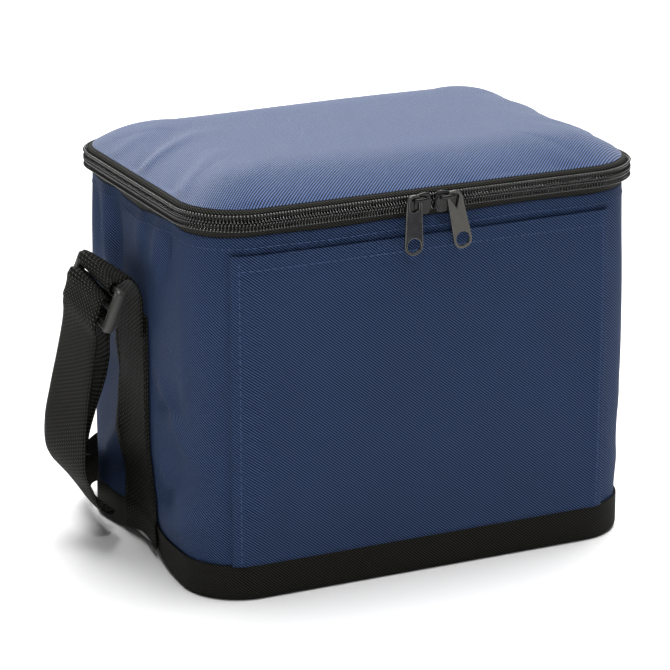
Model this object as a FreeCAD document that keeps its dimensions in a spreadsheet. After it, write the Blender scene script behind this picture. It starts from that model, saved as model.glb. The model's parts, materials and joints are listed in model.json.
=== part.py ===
"""Insulated cooler bag for six drink cans: soft foam walls, a lid on three sides of zip, a front
pocket and a webbing shoulder strap.

The origin is the middle of the base, on the floor. +Z is up, -Y is the front, and the strap's
adjuster is on the -X side. Every length is in millimetres.
"""

import FreeCAD
import Part

import math
import os
import re

import Sketcher

Vector = FreeCAD.Vector

# alias, value, what it is
SIZES = [
    ("wall_width", 212.0, "outside of the cloth wall, left to right"),
    ("wall_depth", 148.0, "outside of the cloth wall, front to back"),
    ("wall_top", 163.0, "height of the folded top edge of the cloth wall"),
    ("corner_radius", 26.0, "upright corners of the cloth wall"),
    ("cloth", 1.0, "coated polyester cloth"),
    ("fit_gap", 0.15, "space between layers that lie on each other"),
    ("foam", 5.0, "foam sheet in the walls, base and lid"),
    ("liner", 0.8, "welded foil liner"),
    ("board", 2.0, "stiffening board in the base"),
    ("band_top", 16.0, "height of the black band round the base"),
    ("foam_drop", 6.0, "wall foam stops this far below the wall's top edge"),
    ("chain_out", 4.0, "zip teeth stand out this far from the wall"),
    ("chain_rise", 7.2, "zip's parting line, above the wall's top edge"),
    ("coil_height", 3.0, "one row of zip teeth, up and down"),
    ("coil_depth", 2.2, "one row of zip teeth, front to back"),
    ("parting_gap", 1.0, "space between the two rows of teeth"),
    ("zip_tape", 0.8, "woven zip tape"),
    ("zip_overlap", 4.6, "height of zip tape sewn behind the wall"),
    ("zip_end", 62.0, "half the gap between the zip's ends, across the back"),
    ("stop_length", 4.0, "blocks at the zip's ends"),
    ("stop_cord", 0.8, "cord between those blocks, under the hinge"),
    ("tape_tuck", 4.0, "upper zip tape sewn under the lid cloth"),
    ("lid_round", 50.0, "distance over which the lid's dome rises"),
    ("lid_inset", 0.8, "lid cloth's edge, in from the wall's outside"),
    ("lid_lift", 5.2, "lid cloth's edge, above the parting line"),
    ("lid_dome", 8.6, "rise of the lid's crown above its edge"),
    ("pocket_width", 180.0, "front pocket"),
    ("pocket_low", 16.6, "bottom of the front pocket"),
    ("pocket_drop", 7.5, "front pocket's open top, below the wall's top edge"),
    ("pocket_gap", 1.5, "room in the flat pocket"),
    ("pocket_cloth", 1.2, "pocket's cloth"),
    ("pocket_seam", 6.0, "width of the pocket's sewn edges"),
    ("pocket_shift", -2.5, "pocket's middle, right of the bag's middle"),
    ("slider_split", -1.5, "place where the sliders meet, right of the bag's middle"),
    ("slider_length", 11.6, "zip slider, along the zip"),
    ("slider_half", 4.9, "zip slider, half its height at the wide end"),
    ("slider_tail_half", 3.9, "zip slider, half its height at the narrow end"),
    ("slider_plate", 1.0, "zip slider's plates"),
    ("slider_meet", 0.6, "half the gap between the two sliders"),
    ("slider_gap", 0.3, "space between the slider and the teeth or tape"),
    ("slider_web", 0.5, "web that joins the slider's two plates"),
    ("back_plate_half", 2.6, "slider's hidden plate, half its height"),
    ("leg_near", 3.0, "bridge's inner leg, from the place where the sliders meet"),
    ("leg_far", 9.6, "bridge's outer leg, from the same place"),
    ("bridge_up", 2.2, "bridge, above the parting line"),
    ("hang_gap", 0.25, "space round the pull where it hangs on the bridge"),
    ("leg_radius", 0.9, "legs of the slider's bridge"),
    ("bridge_rise", 3.0, "slider's bridge, above its plate"),
    ("bridge_bar", 1.0, "thickness of the bridge's bar"),
    ("pull_length", 26.0, "pull tab, end to end"),
    ("pull_top_radius", 3.7, "pull tab's upper end"),
    ("pull_end_radius", 4.4, "pull tab's lower end"),
    ("pull_eye_radius", 3.1, "hole in the pull tab's lower end"),
    ("pull_ring_radius", 2.3, "hole that the bridge goes through"),
    ("pull_plate", 1.3, "thickness of the pull tab"),
    ("right_pull_lean", -8.0, "right pull's sideways lean, degrees"),
    ("strap_width", 38.0, "webbing"),
    ("strap_cloth", 1.6, "webbing's thickness"),
    ("strap_y", 6.0, "strap's middle, behind the bag's middle"),
    ("anchor_top", 114.0, "top of the webbing sewn to each side"),
    ("anchor_lap", 9.0, "webbing above it, sewn this far down over its top"),
    ("anchor_step", 4.0, "height in which that webbing steps off the base band"),
    ("glide_length", 48.0, "strap adjuster, across the strap"),
    ("glide_height", 20.0, "strap adjuster, along the strap"),
    ("glide_plate", 2.4, "strap adjuster's thickness"),
    ("glide_bar", 2.8, "strap adjuster's three bars"),
    ("glide_rail", 3.6, "strap adjuster's two side rails"),
    ("glide_out", 17.6, "adjuster's middle, out from the wall"),
    ("glide_z", 123.0, "height of the adjuster's middle"),
    ("glide_tilt", 18.0, "adjuster's lean, degrees"),
]

doc = FreeCAD.newDocument("CoolerBag")
sheet = doc.addObject("Spreadsheet::Sheet", "sizes")
for row, (alias, value, note) in enumerate(SIZES, start=1):
    sheet.set(f"A{row}", note)
    sheet.set(f"B{row}", str(value))
    sheet.setAlias(f"B{row}", alias)
doc.recompute()

ALIASES = {alias for alias, _, _ in SIZES}
SUBPARTS = []


def size(alias):
    """One of the sheet's values, as a number."""
    return float(getattr(sheet, alias))


def cells(expression):
    """The expression with each alias pointing at its cell in the sheet."""

    def cell(found):
        word = found.group(0)
        return f"sizes.{word}" if word in ALIASES else word

    return re.sub(r"[a-z][a-z_]*", cell, expression)


# Lengths that several sub-parts share, written with the sheet's aliases.
BAND_OUT = "(fit_gap + cloth)"
FOAM_IN = "(cloth + fit_gap)"
LINER_IN = "(cloth + 2 * fit_gap + foam)"
BOARD_Z = "(cloth + fit_gap)"
BASE_FOAM_Z = "(cloth + 2 * fit_gap + board)"
FLOOR_Z = "(cloth + 3 * fit_gap + board + foam)"
FOAM_TOP = "(wall_top - foam_drop)"
POCKET_HIGH = "(wall_top - pocket_drop)"
PARTING_Z = "(wall_top + chain_rise)"
TEETH_HALF_GAP = "(parting_gap / 2)"
LID_EDGE_Z = f"({PARTING_Z} + lid_lift)"
FRONT = "(wall_depth / 2)"
TEETH_OUT = f"({FRONT} + chain_out)"
SLIDER_FACE = f"({TEETH_OUT} + slider_gap)"


def origin_plane(body, role):
    """One of a body's own origin planes."""
    return next(p for p in body.Origin.OriginFeatures if p.Role == role)


def new_body(label):
    """An empty body that will be written as a sub-part."""
    body = doc.addObject("PartDesign::Body", label)
    body.Label = label
    SUBPARTS.append(body)
    return body


def new_sketch(body, role, offset=None):
    """A sketch on an origin plane, moved along the plane's normal by an expression."""
    sketch = body.newObject("Sketcher::SketchObject", body.Label + "_sketch")
    sketch.AttachmentSupport = [(origin_plane(body, role), "")]
    sketch.MapMode = "FlatFace"
    if offset:
        sketch.setExpression(".AttachmentOffset.Base.z", cells(offset))
    return sketch


def constrain(sketch, expression, *constraint):
    """A dimension whose value follows an expression."""
    index = sketch.addConstraint(Sketcher.Constraint(*constraint))
    sketch.setExpression(f"Constraints[{index}]", cells(expression))


def value_of(expression):
    """An expression's number, so that a sketch is drawn where its dimensions will put it."""
    return float(sheet.evalExpression(re.sub("sizes\\.", "", cells(expression))))


def join_tangent(sketch, chain):
    """Each piece of the chain runs smoothly into the next."""
    for before, after in chain:
        sketch.addConstraint(Sketcher.Constraint("Tangent", before, 2, after, 1))


def arc(x, y, radius, start, end):
    """A part of a circle between two angles in degrees, drawn anticlockwise."""
    circle = Part.Circle(Vector(x, y, 0), Vector(0, 0, 1), radius)
    return Part.ArcOfCircle(circle, math.radians(start), math.radians(end))


def line(x0, y0, x1, y1):
    return Part.LineSegment(Vector(x0, y0, 0), Vector(x1, y1, 0))


def rounded_rectangle(sketch, width, depth, radius):
    """A rounded rectangle about the sketch's origin, its three sizes bound to expressions."""
    r = value_of(radius)
    x, y = value_of(width) / 2 - r, value_of(depth) / 2 - r
    first = sketch.GeometryCount
    sketch.addGeometry(
        [
            line(-x, -y - r, x, -y - r),
            arc(x, -y, r, -90, 0),
            line(x + r, -y, x + r, y),
            arc(x, y, r, 0, 90),
            line(x, y + r, -x, y + r),
            arc(-x, y, r, 90, 180),
            line(-x - r, y, -x - r, -y),
            arc(-x, -y, r, 180, 270),
        ],
        False,
    )
    front, arc_a, right, arc_b, back, arc_c, left, arc_d = range(first, first + 8)
    loop = [front, arc_a, right, arc_b, back, arc_c, left, arc_d]
    join_tangent(sketch, zip(loop, loop[1:] + loop[:1]))
    for flat in (front, back):
        sketch.addConstraint(Sketcher.Constraint("Horizontal", flat))
    for upright in (right, left):
        sketch.addConstraint(Sketcher.Constraint("Vertical", upright))
    for other in (arc_b, arc_c, arc_d):
        sketch.addConstraint(Sketcher.Constraint("Equal", arc_a, other))
    sketch.addConstraint(Sketcher.Constraint("Symmetric", arc_a, 3, arc_c, 3, -1, 1))
    constrain(sketch, radius, "Radius", arc_a, r)
    constrain(sketch, width, "DistanceX", left, 1, right, 1, 2 * (x + r))
    constrain(sketch, depth, "DistanceY", front, 1, back, 1, 2 * (y + r))


def zip_path(sketch, inward):
    """The zip's line round the rim, open across the middle of the back."""
    width, depth = f"(wall_width + 2 * {inward})", f"(wall_depth + 2 * {inward})"
    radius = f"(corner_radius + {inward})"
    r, end = value_of(radius), value_of("zip_end")
    x, y = value_of(width) / 2 - r, value_of(depth) / 2 - r
    sketch.addGeometry(
        [
            line(-end, y + r, -x, y + r),
            arc(-x, y, r, 90, 180),
            line(-x - r, y, -x - r, -y),
            arc(-x, -y, r, 180, 270),
            line(-x, -y - r, x, -y - r),
            arc(x, -y, r, -90, 0),
            line(x + r, -y, x + r, y),
            arc(x, y, r, 0, 90),
            line(x, y + r, end, y + r),
        ],
        False,
    )
    back_l, arc_a, left, arc_b, front, arc_c, right, arc_d, back_r = chain = list(range(9))
    join_tangent(sketch, zip(chain, chain[1:]))
    for flat in (back_l, front, back_r):
        sketch.addConstraint(Sketcher.Constraint("Horizontal", flat))
    for upright in (left, right):
        sketch.addConstraint(Sketcher.Constraint("Vertical", upright))
    for other in (arc_b, arc_c, arc_d):
        sketch.addConstraint(Sketcher.Constraint("Equal", arc_a, other))
    sketch.addConstraint(Sketcher.Constraint("Symmetric", arc_b, 3, arc_d, 3, -1, 1))
    constrain(sketch, radius, "Radius", arc_a, r)
    constrain(sketch, width, "DistanceX", left, 1, right, 1, 2 * (x + r))
    constrain(sketch, depth, "DistanceY", front, 1, back_l, 1, 2 * (y + r))
    constrain(sketch, depth, "DistanceY", front, 1, back_r, 2, 2 * (y + r))
    constrain(sketch, "zip_end", "DistanceX", back_l, 1, -1, 1, end)
    constrain(sketch, "zip_end", "DistanceX", -1, 1, back_r, 2, end)


def outline(sketch, corners):
    """A closed outline of straight lines whose corners are (x, y) expressions."""
    places = [(value_of(x), value_of(y)) for x, y in corners]
    first = sketch.GeometryCount
    count = len(corners)
    for i, (x, y) in enumerate(places):
        sketch.addGeometry(line(x, y, *places[(i + 1) % count]), False)
    for i, (x, y) in enumerate(corners):
        here = first + i
        after = first + (i + 1) % count
        sketch.addConstraint(Sketcher.Constraint("Coincident", here, 2, after, 1))
        constrain(sketch, x, "DistanceX", -1, 1, here, 1, places[i][0])
        constrain(sketch, y, "DistanceY", -1, 1, here, 1, places[i][1])


def circle(sketch, x, y, radius):
    """A circle whose centre and radius are expressions."""
    cx, cy, r = value_of(x), value_of(y), value_of(radius)
    index = sketch.addGeometry(Part.Circle(Vector(cx, cy, 0), Vector(0, 0, 1), r), False)
    constrain(sketch, x, "DistanceX", -1, 1, index, 3, cx)
    constrain(sketch, y, "DistanceY", -1, 1, index, 3, cy)
    constrain(sketch, radius, "Radius", index, r)


def pad(body, sketch, length):
    feature = body.newObject("PartDesign::Pad", body.Label + "_pad")
    feature.Profile = sketch
    feature.setExpression("Length", cells(length))
    return feature


def cut(body, sketch, length):
    """A pocket that goes against the sketch's normal."""
    feature = body.newObject("PartDesign::Pocket", body.Label + "_cut")
    feature.Profile = sketch
    feature.setExpression("Length", cells(length))
    return feature


def ring(label, outer, inner, low, high):
    """An upright wall round the bag. outer and inner are distances out from the wall's outside."""
    body = new_body(label)
    sketch = new_sketch(body, "XY_Plane", low)
    for out in (outer, inner):
        rounded_rectangle(sketch, *bag_outline(out))
    pad(body, sketch, f"({high} - {low})")
    return body


def bag_outline(out):
    """Width, depth and corner radius of an outline that lies a distance out from the wall's outside."""
    return f"(wall_width + 2 * {out})", f"(wall_depth + 2 * {out})", f"(corner_radius + {out})"


def slab(label, out, low, thickness):
    """A flat sheet with the bag's outline."""
    body = new_body(label)
    sketch = new_sketch(body, "XY_Plane", low)
    rounded_rectangle(sketch, *bag_outline(out))
    pad(body, sketch, thickness)
    return body


def make_liner():
    """A welded foil tub, whose flange lies over the wall's foam."""
    top = f"({FOAM_TOP} + fit_gap + liner)"
    body = slab("liner", f"(0 - {LINER_IN})", FLOOR_Z, f"({top} - {FLOOR_Z})")
    flange = new_sketch(body, "XY_Plane", f"({top} - liner)")
    rounded_rectangle(flange, *bag_outline(f"(0 - {FOAM_IN})"))
    pad(body, flange, "liner")
    room = new_sketch(body, "XY_Plane", top)
    rounded_rectangle(room, *bag_outline(f"(0 - {LINER_IN} - liner)"))
    cut(body, room, f"({top} - {FLOOR_Z} - liner)")


def make_front_pocket():
    """A flat patch on the front wall, sewn on three edges, with room behind it."""
    face = "(fit_gap + pocket_gap + pocket_cloth)"
    body = ring("front_pocket", face, "fit_gap", "pocket_low", POCKET_HIGH)
    trim = new_sketch(body, "XY_Plane", POCKET_HIGH)
    low, high = "(pocket_shift - pocket_width / 2)", "(pocket_shift + pocket_width / 2)"
    far, minus_far = "(wall_width + wall_depth)", "(0 - wall_width - wall_depth)"
    corners = [
        (minus_far, minus_far), (low, minus_far), (low, "0.0"), (high, "0.0"),
        (high, minus_far), (far, minus_far), (far, far), (minus_far, far),
    ]
    outline(trim, corners)
    cut(body, trim, f"({POCKET_HIGH} - pocket_low)")
    room = new_sketch(body, "XY_Plane", POCKET_HIGH)
    flat = "(wall_width / 2 - corner_radius)"
    back, front = f"(0 - {FRONT})", f"(0 - {FRONT} - fit_gap - pocket_gap)"
    outline(room, [(f"(0 - {flat})", front), (flat, front), (flat, back), (f"(0 - {flat})", back)])
    cut(body, room, f"({POCKET_HIGH} - pocket_low - pocket_seam)")


def profile_at_back(body, corners, x):
    """A cross-section of something that runs round the rim: (out, height) corners, at the back."""
    sketch = new_sketch(body, "YZ_Plane", x)
    outline(sketch, [(f"({FRONT} + {out})", z) for out, z in corners])
    return sketch


def run_round_rim(label, corners):
    """Sweeps a cross-section along the zip's line."""
    body = new_body(label)
    section = profile_at_back(body, corners, "(0 - zip_end)")
    path = new_sketch(body, "XY_Plane", PARTING_Z)
    zip_path(path, "chain_out")
    pipe = body.newObject("PartDesign::AdditivePipe", label + "_sweep")
    pipe.Profile = section
    pipe.Spine = (path, [f"Edge{i}" for i in range(1, 10)])
    return body


def run_across_back(label, corners):
    """The same kind of cross-section, straight across the back between the zip's ends."""
    body = new_body(label)
    half = "(zip_end - stop_length - fit_gap)"
    section = profile_at_back(body, corners, f"(0 - {half})")
    pad(body, section, f"(2 * {half})")


TAPE_FACE = "(chain_out - coil_depth - fit_gap)"
COIL_LOW = f"({PARTING_Z} - {TEETH_HALF_GAP} - coil_height)"
COIL_HIGH = f"({PARTING_Z} + {TEETH_HALF_GAP} + coil_height)"
TAPE_TOP = f"({LID_EDGE_Z} - fit_gap)"


def lower_tape_section():
    """The lower tape: sewn behind the wall's edge, then out and up to the back of the teeth."""
    tucked_back, tucked_face = f"(0 - {FOAM_IN} - zip_tape)", f"(0 - {FOAM_IN})"
    parting = f"({PARTING_Z} - {TEETH_HALF_GAP})"
    return [
        (tucked_back, "(wall_top - zip_overlap)"),
        (tucked_face, "(wall_top - zip_overlap)"),
        (tucked_face, "(wall_top + fit_gap)"),
        (TAPE_FACE, COIL_LOW),
        (TAPE_FACE, parting),
        (f"({TAPE_FACE} - zip_tape)", parting),
        (f"({TAPE_FACE} - zip_tape)", f"({COIL_LOW} + zip_tape / 2)"),
        (tucked_back, "(wall_top + fit_gap + zip_tape)"),
    ]


def upper_tape_section():
    """The upper tape: from the back of the teeth, up and in under the lid cloth's edge."""
    parting = f"({PARTING_Z} + {TEETH_HALF_GAP})"
    return [
        (TAPE_FACE, parting),
        (TAPE_FACE, COIL_HIGH),
        ("(0 - lid_inset)", TAPE_TOP),
        ("(0 - lid_inset - tape_tuck)", TAPE_TOP),
        ("(0 - lid_inset - tape_tuck)", f"({TAPE_TOP} - zip_tape)"),
        ("(0 - lid_inset)", f"({TAPE_TOP} - zip_tape * 1.3)"),
        (f"({TAPE_FACE} - zip_tape)", f"({COIL_HIGH} - zip_tape / 2)"),
        (f"({TAPE_FACE} - zip_tape)", parting),
    ]


def coil_section(low, high):
    teeth_back = "(chain_out - coil_depth)"
    return [(teeth_back, low), ("chain_out", low), ("chain_out", high), (teeth_back, high)]


def make_zip_end_stops():
    """Two moulded blocks that close the lower row of teeth at its ends."""
    body = new_body("zip_end_stops")
    parting = f"({PARTING_Z} - {TEETH_HALF_GAP})"
    for start in ("(0 - zip_end + fit_gap)", "(zip_end - stop_length)"):
        section = profile_at_back(body, coil_section(COIL_LOW, parting), start)
        pad(body, section, "(stop_length - fit_gap)")
    bridge = profile_at_back(body, stop_bridge_section(), "(0 - zip_end + fit_gap)")
    pad(body, bridge, "(2 * zip_end - 2 * fit_gap)")


def stop_bridge_section():
    """A cord along the foot of the hinge, moulded with the two stops."""
    return coil_section(COIL_LOW, f"({COIL_LOW} + stop_cord)")


# Distance in from the lid's edge as a share of lid_round, and rise as a share of lid_dome.
DOME = [(0.0, 0.0), (0.08, 0.40), (0.28, 0.74), (0.62, 0.94), (1.0, 1.0)]


def dome_sketches(body, inner, drop, first_z):
    """Sections of the lid's dome, moved in by one expression and down by another."""
    sketches = []
    for share, rise in DOME:
        inset = f"(lid_inset + {inner} + lid_round * {share})"
        z = f"({LID_EDGE_Z} + lid_dome * {rise} - {drop})" if rise else first_z
        sketch = new_sketch(body, "XY_Plane", z)
        radius = f"((corner_radius - lid_inset - {inner}) * {1 - 0.5 * share})"
        rounded_rectangle(sketch, f"(wall_width - 2 * {inset})", f"(wall_depth - 2 * {inset})", radius)
        sketches.append(sketch)
    return sketches


def loft(body, kind, sketches):
    feature = body.newObject(f"PartDesign::{kind}Loft", body.Label + "_" + kind.lower())
    feature.Profile = sketches[0]
    feature.Sections = sketches[1:]
    feature.Ruled = True


def make_lid_cover():
    body = new_body("lid_cover")
    loft(body, "Additive", dome_sketches(body, "0.0", "0.0", LID_EDGE_Z))
    loft(body, "Subtractive", dome_sketches(body, "cloth", "cloth", LID_EDGE_Z))


LID_LINER_Z = f"({PARTING_Z} + {TEETH_HALF_GAP} + fit_gap)"
LID_LINER_OUT = f"({TAPE_FACE} - zip_tape - slider_plate - 3 * slider_gap)"


def make_lid_foam():
    """Foam and wadding that fill the lid: a straight foot inside the zip tape, then the dome."""
    body = new_body("lid_foam")
    foot_z = f"({LID_LINER_Z} + liner + fit_gap)"
    foot = new_sketch(body, "XY_Plane", foot_z)
    foot_in = "(lid_inset + tape_tuck + fit_gap)"
    rounded_rectangle(foot, *bag_outline(f"(0 - {foot_in})"))
    pad(body, foot, f"({LID_EDGE_Z} + fit_gap - {foot_z})")
    dome = dome_sketches(body, "(cloth + fit_gap + tape_tuck)", "(cloth + fit_gap)", LID_EDGE_Z)
    loft(body, "Additive", dome)


BACK_PLATE = f"({FRONT} + {TAPE_FACE} - zip_tape - slider_gap)"
SLIDER_OUT = f"({SLIDER_FACE} + slider_plate)"
BRIDGE_OUT = f"({SLIDER_OUT} + bridge_rise)"
HOOK_Z = f"({PARTING_Z} + bridge_up)"


def plate_outline(sketch, side, wide, narrow):
    """A slider plate: wide where the two sliders meet, narrow at the other end."""
    near = f"(slider_split + {side} * slider_meet)"
    neck = f"(slider_split + {side} * (slider_meet + slider_length * 0.45))"
    far = f"(slider_split + {side} * (slider_meet + slider_length))"
    corners = [
        (near, f"({PARTING_Z} - {wide})"), (neck, f"({PARTING_Z} - {wide})"),
        (far, f"({PARTING_Z} - {narrow})"), (far, f"({PARTING_Z} + {narrow})"),
        (neck, f"({PARTING_Z} + {wide})"), (near, f"({PARTING_Z} + {wide})"),
    ]
    outline(sketch, corners)


def box_outline(sketch, x0, x1, z0, z1):
    outline(sketch, [(x0, z0), (x1, z0), (x1, z1), (x0, z1)])


def make_slider(label, side):
    """A zip slider: two plates joined by a thin web between the rows of teeth, and a bridge."""
    body = new_body(label)
    front = new_sketch(body, "XZ_Plane", SLIDER_FACE)
    plate_outline(front, side, "slider_half", "slider_tail_half")
    pad(body, front, "slider_plate")
    near = f"(slider_split + {side} * slider_meet)"
    neck = f"(slider_split + {side} * (slider_meet + slider_length * 0.45))"
    web = new_sketch(body, "XZ_Plane", f"({BACK_PLATE} - slider_plate)")
    box_outline(web, near, neck, f"({PARTING_Z} - slider_web / 2)", f"({PARTING_Z} + slider_web / 2)")
    pad(body, web, f"({SLIDER_OUT} - {BACK_PLATE} + slider_plate)")
    back = new_sketch(body, "XZ_Plane", f"({BACK_PLATE} - slider_plate)")
    plate_outline(back, side, "back_plate_half", "back_plate_half * 0.8")
    pad(body, back, "slider_plate")
    for reach in ("leg_near", "leg_far"):
        leg = new_sketch(body, "XZ_Plane", SLIDER_FACE)
        circle(leg, f"(slider_split + {side} * {reach})", HOOK_Z, "leg_radius")
        pad(body, leg, f"({BRIDGE_OUT} - {SLIDER_FACE})")
    bar = new_sketch(body, "XZ_Plane", f"({BRIDGE_OUT} - bridge_bar)")
    box_outline(
        bar,
        f"(slider_split + {side} * leg_near)", f"(slider_split + {side} * leg_far)",
        f"({HOOK_Z} - leg_radius)", f"({HOOK_Z} + leg_radius)",
    )
    pad(body, bar, "bridge_bar")


def make_pull(label, side, lean):
    """A flat pull tab that hangs on the outer leg of a slider's bridge."""
    hang = "(pull_ring_radius - leg_radius - hang_gap)"
    reach = "(pull_length - pull_top_radius - pull_end_radius)"
    top, end = value_of("pull_top_radius"), value_of("pull_end_radius")
    drop = value_of(reach)
    turn = math.asin((end - top) / drop)
    tilt = math.degrees(turn)
    body = new_body(label)
    sketch = new_sketch(body, "XZ_Plane")
    cosine, sine = math.cos(turn), math.sin(turn)
    sketch.addGeometry(
        [
            arc(0, 0, top, tilt, 180 - tilt),
            line(-top * cosine, top * sine, -end * cosine, end * sine - drop),
            arc(0, -drop, end, 180 - tilt, 360 + tilt),
            line(end * cosine, end * sine - drop, top * cosine, top * sine),
        ],
        False,
    )
    join_tangent(sketch, [(0, 1), (1, 2), (2, 3), (3, 0)])
    sketch.addConstraint(Sketcher.Constraint("Coincident", 0, 3, -1, 1))
    sketch.addConstraint(Sketcher.Constraint("PointOnObject", 2, 3, -2))
    constrain(sketch, "pull_top_radius", "Radius", 0, top)
    constrain(sketch, "pull_end_radius", "Radius", 2, end)
    constrain(sketch, reach, "DistanceY", 2, 3, 0, 3, drop)
    circle(sketch, "0.0", "0.0", "pull_ring_radius")
    circle(sketch, "0.0", f"(0 - {reach})", "pull_eye_radius")
    pad(body, sketch, "pull_plate")
    leg_x = f"(slider_split + {side} * leg_far)"
    outward = f"({SLIDER_OUT} + hang_gap)"
    body.Placement.Rotation = FreeCAD.Rotation(Vector(0, 1, 0), lean)
    swing = math.radians(lean)
    body.setExpression(".Placement.Base.x", cells(f"({leg_x} - {math.sin(swing)} * {hang})"))
    body.setExpression(".Placement.Base.y", cells(f"(0 - {outward})"))
    body.setExpression(".Placement.Base.z", cells(f"({HOOK_Z} - {math.cos(swing)} * {hang})"))


def make_tri_glide():
    """The strap's adjuster: a flat ladder of three bars between two rails."""
    body = new_body("tri_glide")
    sketch = new_sketch(body, "XY_Plane", "(0 - glide_plate / 2)")
    half_long, half_high = "(glide_length / 2)", "(glide_height / 2)"
    low, left = f"(0 - {half_high})", f"(0 - {half_long})"
    outline(sketch, [(low, left), (half_high, left), (half_high, half_long), (low, half_long)])
    rail = f"({half_long} - glide_rail)"
    for side in (1, -1):
        near = f"({side} * glide_bar / 2)"
        far = f"({side} * (glide_height / 2 - glide_bar))"
        outline(sketch, [(near, f"(0 - {rail})"), (far, f"(0 - {rail})"), (far, rail), (near, rail)])
    pad(body, sketch, "glide_plate")
    tilt = size("glide_tilt")
    body.Placement.Rotation = FreeCAD.Rotation(Vector(0, 1, 0), tilt - 90)
    body.setExpression(".Placement.Base.x", cells("(0 - wall_width / 2 - glide_out)"))
    body.setExpression(".Placement.Base.y", cells("strap_y"))
    body.setExpression(".Placement.Base.z", cells("glide_z"))


def webbing(label, stations):
    """A band of webbing through stations: (middle, direction of its width, width)."""
    middles = [Vector(*middle) for middle, _, _ in stations]
    wires = []
    half_thick = size("strap_cloth") / 2
    for i, (_, across, width) in enumerate(stations):
        run = middles[min(i + 1, len(middles) - 1)] - middles[max(i - 1, 0)]
        run.normalize()
        wide = Vector(*across)
        wide = (wide - run * wide.dot(run)).normalize()
        thick = run.cross(wide) * half_thick
        wide = wide * (width / 2)
        corners = [middles[i] + wide * a + thick * b for a, b in ((1, 1), (1, -1), (-1, -1), (-1, 1))]
        wires.append(Part.makePolygon(corners + corners[:1]))
    feature = doc.addObject("Part::Feature", label)
    feature.Label = label
    feature.Shape = Part.makeLoft(wires, True, True)
    feature.Placement = FreeCAD.Placement()
    SUBPARTS.append(feature)
    length = sum((b - a).Length for a, b in zip(middles, middles[1:]))
    print(f"{label}: {length:.0f} mm of webbing")


def make_strap_anchor(label, side):
    """Webbing sewn up one side of the bag, over the base band."""
    wall = size("wall_width") / 2
    width = size("strap_width")
    half = size("strap_cloth") / 2
    on_band = wall + value_of(BAND_OUT) + size("fit_gap") + half
    on_wall = wall + size("fit_gap") + half
    heights = [
        (on_band, value_of(BOARD_Z)),
        (on_band, size("band_top")),
        (on_wall, size("band_top") + size("anchor_step")),
        (on_wall, size("anchor_top")),
    ]
    middle_y = size("strap_y")
    webbing(label, [((side * out, middle_y, z), (0, 1, 0), width) for out, z in heights])


def glide_place(up, out):
    """A point of the adjuster, from its middle: up along it, and out from the bag."""
    tilt = math.radians(size("glide_tilt"))
    x = -(size("wall_width") / 2 + size("glide_out")) + up * math.sin(tilt) - out * math.cos(tilt)
    return x, size("strap_y"), size("glide_z") + up * math.cos(tilt) + out * math.sin(tilt)


def bar_reach():
    """How far the webbing's middle stays from the middle of a square-cut bar that it goes round."""
    corner = math.hypot(size("glide_bar"), size("glide_plate")) / 2
    return corner + size("strap_cloth") / 2 + size("fit_gap")


def round_bar(up, turns):
    """The webbing's middle line round one of the adjuster's bars, at angles from straight up."""
    reach = bar_reach()
    places = []
    for turn in turns:
        angle = math.radians(turn)
        places.append(glide_place(up + reach * math.cos(angle), reach * math.sin(angle)))
    return places


def upper_layer():
    """Distance from the bag's middle plane to the webbing sewn over a side anchor."""
    anchor_face = size("wall_width") / 2 + size("fit_gap") + size("strap_cloth")
    return anchor_face + 2 * size("fit_gap") + size("strap_cloth") / 2


def beside_anchor(side, bends):
    """Points of webbing at one side: each bend is (out from the sewn layer, up from the anchor's top)."""
    out, top = upper_layer(), size("anchor_top")
    return [(side * (out + away), size("strap_y"), top + up) for away, up in bends]


# Where a point of the strap is measured from: x from the left wall, the bag's middle or the right
# wall, and y from the bag's middle or its rear wall.
LEFT, MIDDLE, RIGHT = -1, 0, 1
BESIDE, REAR = 0, 1
FULL = size("strap_width")

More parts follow.
